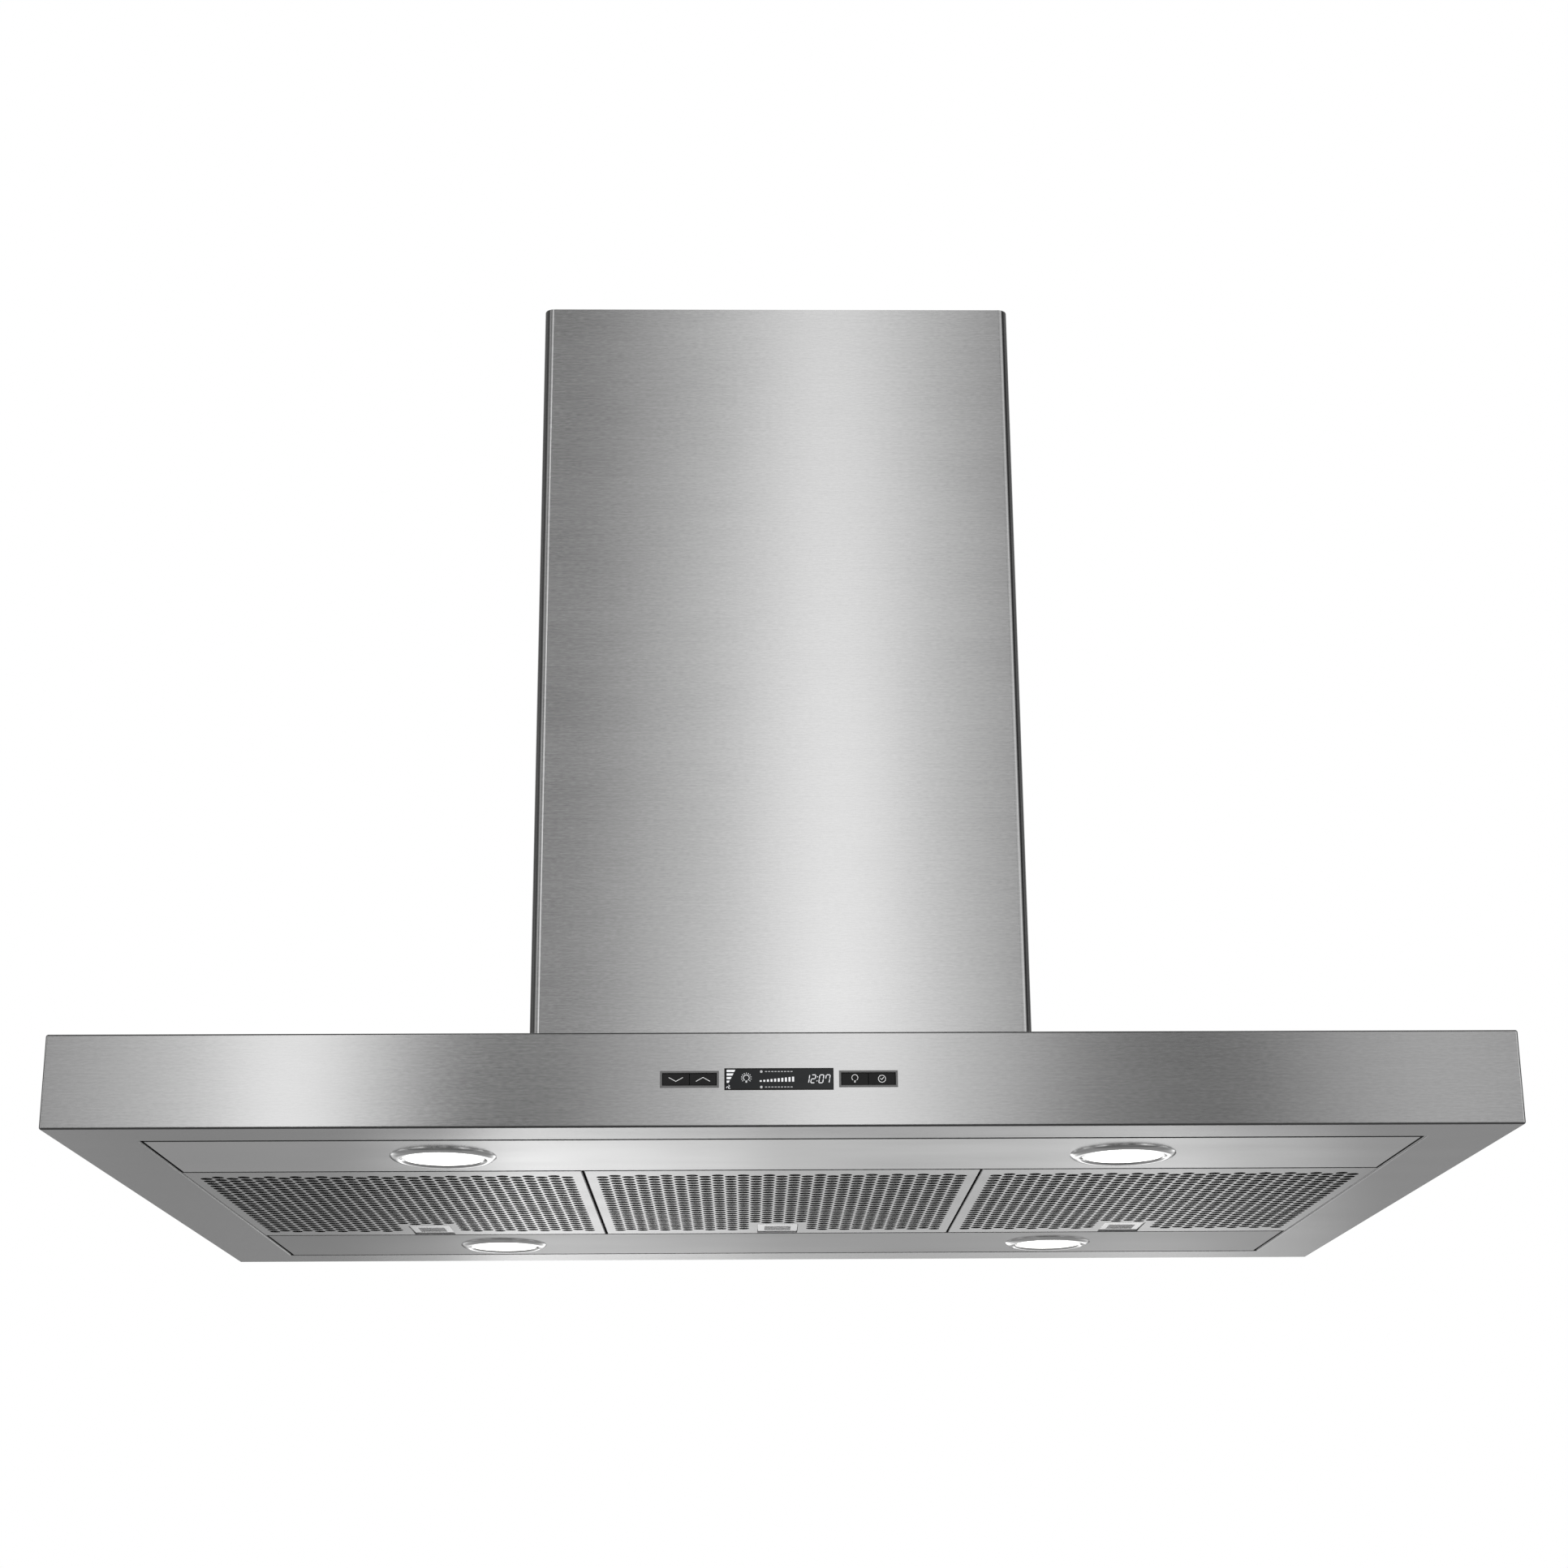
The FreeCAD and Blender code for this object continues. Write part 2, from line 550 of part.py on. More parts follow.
# ---- controls ---------------------------------------------------------------------------------
def keys_and_bezels():
    bezels = []
    keys = {}
    names = iter(KEY_NAMES)
    inner_width = BAR_WIDTH - 2 * BEZEL
    inner_height = BAR_HEIGHT - 2 * BEZEL
    cap_face, cap_back, stem_end = KEY_DEPTH
    for side in SIDES:
        x = CONTROL_X + side * BAR_OFFSET
        frame = fascia_block(x, BAR_WIDTH, BAR_HEIGHT, -BEZEL_PROUD, 4.0)
        front_edges = [e for e in frame.Edges if e.BoundBox.YMax < FRONT - 0.3]
        frame = frame.makeFillet(0.35, front_edges)
        bezels.append(frame.cut(fascia_block(x, inner_width, inner_height, -1, 5)))
        key_width = (inner_width - 3 * KEY_GAP) / 2
        for place in SIDES:
            key_x = x + place * (key_width + KEY_GAP) / 2
            cap = fascia_block(key_x, key_width, inner_height - 2 * KEY_GAP, cap_face, cap_back)
            rim = [e for e in cap.Edges if e.BoundBox.YMax < FRONT + 0.3]
            stem = fascia_block(key_x, 6, 4, cap_back, stem_end)
            keys[next(names)] = join([cap.makeFillet(0.25, rim), stem])
    save_on_hood("button_bezels", *bezels)
    for name, key in keys.items():
        save_on_hood(f"button_{name}", key)


def display():
    glass = fascia_block(CONTROL_X, DISPLAY_WIDTH, DISPLAY_HEIGHT, -DISPLAY_PROUD, 3.0)
    glass = glass.makeFillet(DISPLAY_PROUD, [e for e in glass.Edges if e.BoundBox.YMax < FRONT - 0.1])
    save_on_hood("display_glass", glass)


def control_housing():
    """Box behind the fascia, open to it, with an outlet for the wires at its right end, and the board
    across it."""
    width = 2 * BAR_OFFSET + BAR_WIDTH + 12
    housing = fascia_block(CONTROL_X, width, HOUSING_HEIGHT, SHEET, HOUSING_DEPTH)
    hollow = fascia_block(CONTROL_X, width - 2 * HOUSING_WALL, HOUSING_HEIGHT - 2 * HOUSING_WALL, 0,
                          HOUSING_DEPTH - HOUSING_WALL)
    right_end = CONTROL_X + width / 2
    outlet = box(right_end - 20, right_end - 8, FRONT + HOUSING_DEPTH - 3, FRONT + HOUSING_DEPTH + 2, 44, 50)
    save_on_hood("control_housing", housing.cut([hollow, outlet]))
    save_on_hood("control_board", fascia_block(CONTROL_X, width - 8, 26, *BOARD_DEPTH))


# ---- blower -----------------------------------------------------------------------------------
def blower_box():
    walls = box(-BLOWER_BOX_X, BLOWER_BOX_X, -BLOWER_BOX_Y, BLOWER_BOX_Y, TOP_FACE_UP, BLOWER_TOP)
    hollow = box(-BLOWER_BOX_X + THIN_SHEET, BLOWER_BOX_X - THIN_SHEET, -BLOWER_BOX_Y + THIN_SHEET,
                 BLOWER_BOX_Y - THIN_SHEET, TOP_FACE_UP - 1, BLOWER_TOP - THIN_SHEET)
    foot_x = BLOWER_BOX_X + BLOWER_FOOT[0]
    foot_y = BLOWER_BOX_Y + BLOWER_FOOT[1]
    foot = box(-foot_x, foot_x, -foot_y, foot_y, TOP_FACE_UP, TOP_FACE_UP + THIN_SHEET)
    outlet = cylinder(COLLAR_RADIUS - COLLAR_WALL, (0, 0, BLOWER_TOP - 5), (0, 0, 1), 10)
    save_on_hood("blower_box", join([walls, foot]).cut([hollow, outlet]))


def scroll_block(half, radius, top):
    """A round chamber round the wheel with a duct going straight up from its back half."""
    chamber = cylinder(radius, (-half, 0, WHEEL_UP), (1, 0, 0), 2 * half)
    duct_front = SCROLL_DUCT_FRONT + SCROLL_RADIUS - radius
    return join([chamber, box(-half, half, duct_front, radius, WHEEL_UP, top)])


def blower_scroll():
    top = BLOWER_TOP - THIN_SHEET
    solid = scroll_block(SCROLL_HALF, SCROLL_RADIUS, top)
    solid = solid.cut(scroll_block(SCROLL_HALF - THIN_SHEET, SCROLL_RADIUS - THIN_SHEET, top + 1))
    inlets = cylinder(INLET_RADIUS, (-SCROLL_HALF - 5, 0, WHEEL_UP), (1, 0, 0), 2 * SCROLL_HALF + 10)
    feet = []
    for x in (-SCROLL_FOOT_X, SCROLL_FOOT_X):
        left, right = x - SCROLL_FOOT_HALF, x + SCROLL_FOOT_HALF
        feet.append(box(left, right, -3, 3, TOP_FACE_UP, WHEEL_UP - SCROLL_RADIUS + 0.5))
        feet.append(box(left, right, -90, 90, TOP_FACE_UP, TOP_FACE_UP + 2))
    save_on_hood("blower_scroll", join([solid.cut(inlets), *feet]))


def blower_wheel():
    """Double-inlet wheel: a middle disc with a hub, two end rings, and blades between them."""
    start = (0, 0, WHEEL_UP)
    disc = cylinder(WHEEL_RADIUS, (-1, 0, WHEEL_UP), (1, 0, 0), 2)
    hub = cylinder(12, (-1, 0, WHEEL_UP), (1, 0, 0), 15)
    width, band = WHEEL_RING
    rings = [cylinder(WHEEL_RADIUS, (x, 0, WHEEL_UP), (1, 0, 0), width)
             .cut(cylinder(WHEEL_RADIUS - band, (x, 0, WHEEL_UP), (1, 0, 0), width))
             for x in (-WHEEL_HALF, WHEEL_HALF - width)]
    edge = WHEEL_UP + WHEEL_RADIUS
    blade = box(-WHEEL_HALF + 1, WHEEL_HALF - 1, -BLADE_HALF, BLADE_HALF, edge - BLADE_BAND[0],
                edge - BLADE_BAND[1])
    blade.rotate(FreeCAD.Vector(0, 0, edge - band / 2), FreeCAD.Vector(1, 0, 0), BLADE_ANGLE)
    blades = []
    for index in range(BLADES):
        turned = blade.copy()
        turned.rotate(FreeCAD.Vector(*start), FreeCAD.Vector(1, 0, 0), 360 * index / BLADES)
        blades.append(turned)
    wheel = join([disc, hub, *rings, *blades])
    save_on_hood("blower_wheel", wheel.cut(cylinder(SHAFT_RADIUS, (-5, 0, WHEEL_UP), (1, 0, 0), 30)))
    save_on_hood("motor_shaft", cylinder(SHAFT_RADIUS, (SHAFT_START, 0, WHEEL_UP), (1, 0, 0), SHAFT_LENGTH))


def motor():
    """Motor inside the wheel's left half, on a three-armed ring fixed to the scroll."""
    body = cylinder(MOTOR_RADIUS, (MOTOR_START, 0, WHEEL_UP), (1, 0, 0), MOTOR_LENGTH)
    body = body.makeFillet(4, [e for e in body.Edges if e.BoundBox.XLength < 0.01])
    mount = (-SCROLL_HALF - MOTOR_MOUNT, 0, WHEEL_UP)
    inner, outer = MOTOR_RING
    ring = cylinder(outer, mount, (1, 0, 0), MOTOR_MOUNT).cut(cylinder(inner, mount, (1, 0, 0), MOTOR_MOUNT))
    arms = []
    for angle in (90, 210, 330):
        arm = box(mount[0], -SCROLL_HALF, -5, 5, WHEEL_UP + MOTOR_RADIUS - 4, WHEEL_UP + inner + 3)
        arm.rotate(FreeCAD.Vector(0, 0, WHEEL_UP), FreeCAD.Vector(1, 0, 0), angle)
        arms.append(arm)
    bore = cylinder(SHAFT_RADIUS + 0.05, (-100, 0, WHEEL_UP), (1, 0, 0), 100)
    save_on_hood("motor", join([body, ring, *arms]).cut(bore))


def outlet_collar():
    """Round spigot for the duct, with a stop ring and a pivot rod for the two damper flaps."""
    inner = COLLAR_RADIUS - COLLAR_WALL
    tube = revolved([(inner, 0), (COLLAR_FLANGE, 0), (COLLAR_FLANGE, SHEET), (COLLAR_RADIUS, SHEET),
                     (COLLAR_RADIUS, COLLAR_HEIGHT), (inner, COLLAR_HEIGHT)], BLOWER_TOP)
    stop = revolved([(inner - 3.5, 0), (inner + 0.5, 0), (inner + 0.5, SHEET), (inner - 3.5, SHEET)],
                    DAMPER_UP - DAMPER_STOP_DROP)
    rod = cylinder(DAMPER_ROD, (0, -inner - 0.5, DAMPER_UP), (0, 1, 0), 2 * inner + 1)
    save_on_hood("outlet_collar", join([tube, stop, rod]))


def damper_flap(side, knuckle_centres):
    """Half-round flap with knuckles round the pivot rod."""
    low = DAMPER_UP - DAMPER_HALF
    high = DAMPER_UP + DAMPER_HALF
    disc = cylinder(DAMPER_RADIUS, (0, 0, low), (0, 0, 1), high - low)
    pieces = [disc.common(box(side * 3.2, side * 100, -100, 100, low, high))]
    for y in knuckle_centres:
        pieces.append(cylinder(KNUCKLE_RADIUS, (0, y - KNUCKLE_HALF, DAMPER_UP), (0, 1, 0), 2 * KNUCKLE_HALF))
        pieces.append(box(side * 1.9, side * 4, y - KNUCKLE_HALF, y + KNUCKLE_HALF, low, high))
    return join(pieces).cut(cylinder(DAMPER_ROD + 0.06, (0, -100, DAMPER_UP), (0, 1, 0), 200))


def dampers():
    save_on_hood("damper_flap_left", damper_flap(-1, (-30, 30)))
    save_on_hood("damper_flap_right", damper_flap(1, (-60, 60)))


# ---- wiring -----------------------------------------------------------------------------------
def junction_box():
    """Steel wiring box on the side of the blower box, with a separate lid facing the cover."""
    x0 = BLOWER_BOX_X
    x1 = x0 + JUNCTION_DEPTH
    half = JUNCTION_HALF
    low, high = JUNCTION_UP
    body = box(x0, x1, -half, half, low, high)
    body = body.cut(box(x0 + SHEET, x1 + 1, -half + SHEET, half - SHEET, low + SHEET, high - SHEET))
    knockout = cylinder(KNOCKOUT, (CABLE_X, 0, high - 5), (0, 0, 1), 10)
    wires = cylinder(WIRE_HOLE, (CABLE_X, 0, low - 5), (0, 0, 1), 10)
    lid = box(x1, x1 + SHEET, -half, half, low, high)
    save_on_hood("junction_box", body.cut([knockout, wires]), lid)


def harness_path(points, bends):
    """Straight runs joined by tangent arcs. bends holds the arc's radius at each inner point."""
    edges = []
    start = FreeCAD.Vector(*points[0])
    for index, radius in enumerate(bends, start=1):
        corner = FreeCAD.Vector(*points[index])
        before = (corner - FreeCAD.Vector(*points[index - 1])).normalize()
        after = (FreeCAD.Vector(*points[index + 1]) - corner).normalize()
        turn = before.getAngle(after)
        reach = radius * math.tan(turn / 2)
        enter = corner - before * reach
        leave = corner + after * reach
        inward = (after - before).normalize()
        middle = corner + inward * (radius / math.cos(turn / 2) - radius)
        edges.append(Part.LineSegment(start, enter).toShape())
        edges.append(Part.Arc(enter, middle, leave).toShape())
        start = leave
    edges.append(Part.LineSegment(start, FreeCAD.Vector(*points[-1])).toShape())
    return Part.Wire(edges)


def wiring():
    """Harness from the wiring box down through the canopy's top and forward to the controls."""
    route = [(CABLE_X, 0, JUNCTION_UP[0] + 6), (CABLE_X, 0, 60), (CABLE_X, -260, 60), (72, -300, 56),
             (72, -315, 47), (72, FRONT + 14, 47)]
    path = harness_path(route, (22, 40, 8, 6))
    start = FreeCAD.Vector(*route[0])
    circle = Part.Wire(Part.makeCircle(HARNESS_RADIUS, start, FreeCAD.Vector(0, 0, -1)))
    tube = path.makePipeShell([circle], True, True)
    save_on_hood("wiring", tube)


# ---- filters ----------------------------------------------------------------------------------
def hole_centres():
    """Staggered rows of holes, six neighbours each, leaving the latch's area plain."""
    first = -((HOLE_ROWS - 1) * HOLE_PITCH + HOLE_PITCH / 2) / 2
    middle = (HOLE_COLUMNS - 1) // 2
    for column in range(HOLE_COLUMNS):
        x = (column - middle) * COLUMN_PITCH
        late = HOLE_PITCH / 2 if (column - middle) % 2 == 0 else 0.0
        for row in range(HOLE_ROWS):
            y = first + late + row * HOLE_PITCH
            near_latch = abs(x) < PLAIN_COLUMNS * COLUMN_PITCH and y > LATCH_SLOT_NEAR - PLAIN_MARGIN
            if not near_latch:
                yield x, y


def rectangle(half_x, y0, y1):
    """A closed outline at height 0."""
    corners = ((-half_x, y0), (half_x, y0), (half_x, y1), (-half_x, y1), (-half_x, y0))
    return Part.makePolygon([FreeCAD.Vector(x, y, 0) for x, y in corners])


def filter_pan():
    """Perforated face with folded-up walls, front tongues, latch opening and latch guides."""
    border_x = FILTER_X - FILTER_BORDER
    border_y = LATCH_SLOT_FAR
    outline = rectangle(border_x, -border_y, border_y)
    holes = [Part.Wire(Part.makeCircle(HOLE_RADIUS, FreeCAD.Vector(x, y, 0))) for x, y in hole_centres()]
    latch_opening = rectangle(LATCH_HALF + LATCH_SIDE_GAP, LATCH_SLOT_NEAR, border_y + 1)
    face = Part.makeFace([outline, *holes], "Part::FaceMakerBullseye").cut(Part.Face(latch_opening))
    sheet = face.extrude(FreeCAD.Vector(0, 0, FILTER_SHEET))
    pan = box(-FILTER_X, FILTER_X, -FILTER_Y, FILTER_Y, 0, FILTER_WALL)
    pan = pan.makeFillet(FILTER_BEND, edges_at(pan, 0.0))
    inside = box(-FILTER_X + FILTER_SHEET, FILTER_X - FILTER_SHEET, -FILTER_Y + FILTER_SHEET,
                 FILTER_Y - FILTER_SHEET, FILTER_SHEET, FILTER_WALL + 1)
    middle = box(-border_x, border_x, -border_y, border_y, -1, FILTER_WALL)
    bolt_slot = box(-BOLT_SLOT_HALF + 1, BOLT_SLOT_HALF - 1, FILTER_Y - 2, FILTER_Y + 1, *BOLT_SLOT)
    tongues = [box(side * TONGUE_X - TONGUE_HALF, side * TONGUE_X + TONGUE_HALF, -FILTER_Y - TONGUE_REACH,
                   -FILTER_Y + FILTER_SHEET / 2, *TONGUE_UP) for side in SIDES]
    guides = []
    lip, wall, outside = GUIDE_X
    for side in SIDES:
        guides.append(box(side * wall, side * outside, *GUIDE_Y, FILTER_SHEET / 2, GUIDE_UP[1]))
        guides.append(box(side * lip, side * outside, *GUIDE_Y, *GUIDE_UP))
    return join([pan.cut([inside, middle, bolt_slot]), sheet, *tongues, *guides])


def filter_mesh():
    """Four aluminium mesh layers inside the pan, cut out round the latch."""
    edge = FILTER_SHEET + MESH_CLEARANCE
    low = FILTER_SHEET + MESH_RISE
    layer = box(-FILTER_X + edge, FILTER_X - edge, -FILTER_Y + edge, FILTER_Y - edge, low, low + MESH_LAYER)
    layer = layer.cut(box(-LATCH_HALF - 5, LATCH_HALF + 5, GUIDE_Y[0] - 1.5, FILTER_Y + 1, 0, FILTER_WALL))
    return Part.makeCompound([moved(layer, z=index * MESH_SPACING) for index in range(MESH_LAYERS)])


def latch():
    """Sliding latch plate with a finger pull pressed into it and a bolt through the pan's back wall."""
    plate = box(-LATCH_HALF, LATCH_HALF, LATCH_NEAR, LATCH_SLOT_FAR - 0.6, LATCH_UP, LATCH_UP + LATCH_PLATE)
    pull_top = LATCH_UP + PULL_DEPTH
    well = box(-PULL_HALF - PULL_WALL, PULL_HALF + PULL_WALL, PULL_Y[0] - PULL_WALL, PULL_Y[1] + PULL_WALL,
               LATCH_UP, pull_top + PULL_WALL)
    hollow = box(-PULL_HALF, PULL_HALF, *PULL_Y, 0, pull_top)
    riser = box(-BOLT_HALF, BOLT_HALF, BOLT_START, BOLT_START + 1.5, LATCH_UP, BOLT_UP[1])
    bolt = box(-BOLT_HALF, BOLT_HALF, BOLT_START, FILTER_Y + BOLT_REACH, *BOLT_UP)
    return join([join([plate, well]).cut(hollow), riser, bolt])


def filters():
    pan = filter_pan()
    mesh = filter_mesh()
    plate = latch()
    for name, x in zip(("left", "middle", "right"), filter_centres()):
        save_on_hood(f"filter_face_{name}", moved(pan, x=x))
        save_on_hood(f"filter_mesh_{name}", moved(mesh, x=x))
        save_on_hood(f"latch_{name}", moved(plate, x=x))


ceiling_plate()
upper_uprights()
upper_frame_ties()
upper_covers()
lower_uprights()
lower_frame_ties()
frame_bolts()
lower_covers()
cover_screws()
canopy_shell()
canopy_top()
light_panels()
latch_keepers()
panel_clips()
lamps()
keys_and_bezels()
display()
control_housing()
blower_box()
blower_scroll()
blower_wheel()
motor()
outlet_collar()
dampers()
junction_box()
wiring()
filters()
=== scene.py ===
import json
import math

import bmesh
import bpy
from mathutils import Matrix, Vector


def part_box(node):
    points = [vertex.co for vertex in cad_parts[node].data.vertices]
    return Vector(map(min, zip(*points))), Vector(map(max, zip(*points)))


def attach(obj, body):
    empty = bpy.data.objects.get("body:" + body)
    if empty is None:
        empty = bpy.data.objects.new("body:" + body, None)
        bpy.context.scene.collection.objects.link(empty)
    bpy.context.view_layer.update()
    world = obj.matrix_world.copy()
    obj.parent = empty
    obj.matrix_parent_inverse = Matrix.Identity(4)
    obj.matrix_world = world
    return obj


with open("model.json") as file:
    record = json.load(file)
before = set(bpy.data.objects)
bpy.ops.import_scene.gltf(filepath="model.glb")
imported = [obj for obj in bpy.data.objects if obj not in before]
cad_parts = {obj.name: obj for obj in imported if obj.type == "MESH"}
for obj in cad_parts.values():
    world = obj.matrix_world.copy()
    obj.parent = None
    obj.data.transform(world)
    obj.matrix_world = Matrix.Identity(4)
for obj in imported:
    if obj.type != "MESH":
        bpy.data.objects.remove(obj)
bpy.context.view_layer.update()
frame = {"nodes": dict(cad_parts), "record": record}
nodes = frame["nodes"]
slot_of = {part["node"]: part["material_slot"] for part in frame["record"]["subparts"]}

MM = 0.001                   # lengths are in metres


# ---- short calls for shader nodes ---------------------------------------------------------------
class Graph:
    """A node tree that is filled by calls, each of which returns an output socket."""

    def __init__(self, tree):
        self.tree = tree
        tree.nodes.clear()

    def feed(self, socket, value):
        if isinstance(value, bpy.types.NodeSocket):
            self.tree.links.new(value, socket)
        else:
            socket.default_value = value

    def node(self, kind, inputs=None, **settings):
        """inputs are set or linked by name or number, settings are the node's own properties."""
        made = self.tree.nodes.new(kind)
        for name, value in settings.items():
            setattr(made, name, value)
        for key, value in (inputs or {}).items():
            self.feed(made.inputs[key], value)
        return made

    def maths(self, operation, *values, clamp=False):
        inputs = dict(enumerate(values))
        return self.node("ShaderNodeMath", inputs, operation=operation, use_clamp=clamp).outputs[0]

    def split(self, vector):
        return self.node("ShaderNodeSeparateXYZ", {0: vector}).outputs[:]

    def join(self, x, y, z=0.0):
        return self.node("ShaderNodeCombineXYZ", {0: x, 1: y, 2: z}).outputs[0]

    def mix(self, factor, low, high):
        return self.node("ShaderNodeMix", {0: factor, 2: low, 3: high}, data_type="FLOAT").outputs[0]

    def blend(self, factor, low, high):
        made = self.node("ShaderNodeMix", {0: factor, 6: low, 7: high}, data_type="RGBA")
        return made.outputs[2]

    def remap(self, value, low, high, to_low, to_high):
        inputs = {0: value, 1: low, 2: high, 3: to_low, 4: to_high}
        return self.node("ShaderNodeMapRange", inputs).outputs[0]

    def noise(self, place, scale, detail=2.0, roughness=0.5):
        inputs = {"Vector": place, "Scale": scale, "Detail": detail, "Roughness": roughness}
        return self.node("ShaderNodeTexNoise", inputs).outputs[0]

    def ramp(self, value, stops, interpolation="LINEAR"):
        """stops are (position, grey level or colour)."""
        made = self.node("ShaderNodeValToRGB", {0: value})
        made.color_ramp.interpolation = interpolation
        elements = made.color_ramp.elements
        for index, (position, level) in enumerate(stops):
            stop = elements[index] if index < 2 else elements.new(position)
            stop.position = position
            stop.color = level if isinstance(level, tuple) else (level, level, level, 1.0)
        return made.outputs[0]

    def bump(self, height, depth, under=None):
        """Relief of that many metres from a height of 0 to 1."""
        inputs = {"Height": height, "Distance": depth, "Strength": 1.0}
        if under is not None:
            inputs["Normal"] = under
        return self.node("ShaderNodeBump", inputs).outputs[0]

    def principled(self, **inputs):
        """Input names are written with underscores, such as Base_Color."""
        named = {name.replace("_", " "): value for name, value in inputs.items()}
        return self.node("ShaderNodeBsdfPrincipled", named).outputs[0]


def material(name, build):
    made = bpy.data.materials.new(name)
    made.use_nodes = True
    graph = Graph(made.node_tree)
    graph.node("ShaderNodeOutputMaterial", {"Surface": build(graph)})
    return made


def grey(level):
    return (level, level, level, 1.0)


def object_place(g):
    return g.node("ShaderNodeTexCoord").outputs["Object"]


# ---- metals -------------------------------------------------------------------------------------
GRAIN_LINES = ((0.005, 0.0011, 0.6), (0.030, 0.0015, 0.27), (0.12, 0.004, 0.13))   # length, width, share
GRAIN_NOISE = (0.36, 0.64)          # the stretch of the added-up noise that becomes grain from 0 to 1
GRAIN_ROUGHNESS = 0.04
GRAIN_DEPTH = 0.0025 * MM
CLOUD_LENGTH = 0.22
CLOUD_WIDTH = 0.05
CLOUD_SHARE = 0.25                  # of the shade. The grain makes the rest.
CLOUD_ROUGHNESS = 0.03
TONE_SPREAD = 0.115                 # how far the shade takes the tone up and down
UNEVEN_SCALE = 4.0
UNEVEN_DEPTH = 0.4 * MM
FACING = 0.7                        # a face looks along an axis when its normal has more than this along it
# Painted shade: how strongly, and towards what grey, bends and the bay's seams and holes are darkened.
SEAM_SHADE_STRENGTH = 0.9
SEAM_SHADE_TONE = 0.02
BEND_NORMAL = (0.985, 0.90)         # the normal's largest part where a bend's shade starts and is full
BEND_SHADE = 0.7
CORNER_SHADE = 0.85                 # the same for a sheet without seams in the bay
UPRIGHT_NORMAL = (0.97, 0.85)       # the normal's vertical part where a seam's shade starts and is full
BAY_MARGIN = 5 * MM                 # how far the folded rim of the bay reaches past the light panels
LATCH_WALL_SETBACK = 2 * MM         # of the latch openings' far walls from the panel behind them
LATCH_WALL_REACH = 1.5 * MM         # how far from there a wall still counts as theirs
bay_low, bay_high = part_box("light_panel_back")


def seam_shade(g, place, normal, bay):
    """How dark the painted shade makes the surface: less than 1 on tight bends and, where bay is true, 1 on
    the upright faces of the bay's seams and holes. 0 elsewhere. Bends, seams and holes get painted shade."""
    x, y, _ = g.split(place)
    parts = g.split(normal)
    sides = [g.maths("ABSOLUTE", part) for part in parts]
    squarest = g.maths("MAXIMUM", g.maths("MAXIMUM", sides[0], sides[1]), sides[2])
    bend = g.remap(squarest, *BEND_NORMAL, 0.0, BEND_SHADE if bay else CORNER_SHADE)
    if not bay:
        return bend
    in_x = g.maths("LESS_THAN", g.maths("ABSOLUTE", x), bay_high.x + BAY_MARGIN)
    in_y = g.maths("LESS_THAN", g.maths("ABSOLUTE", y), bay_high.y + BAY_MARGIN)
    upright = g.remap(sides[2], *UPRIGHT_NORMAL, 0.0, 1.0)
    # The far wall of each latch opening faces the front and catches its light.
    faces_front = g.maths("LESS_THAN", parts[1], -FACING)
    latch_wall = g.maths("COMPARE", y, bay_low.y - LATCH_WALL_SETBACK, LATCH_WALL_REACH)
    in_shade = g.maths("SUBTRACT", 1.0, g.maths("MULTIPLY", faces_front, latch_wall))
    in_bay = g.maths("MULTIPLY", in_shade, g.maths("MULTIPLY", in_x, in_y))
    return g.maths("MAXIMUM", bend, g.maths("MULTIPLY", upright, in_bay))


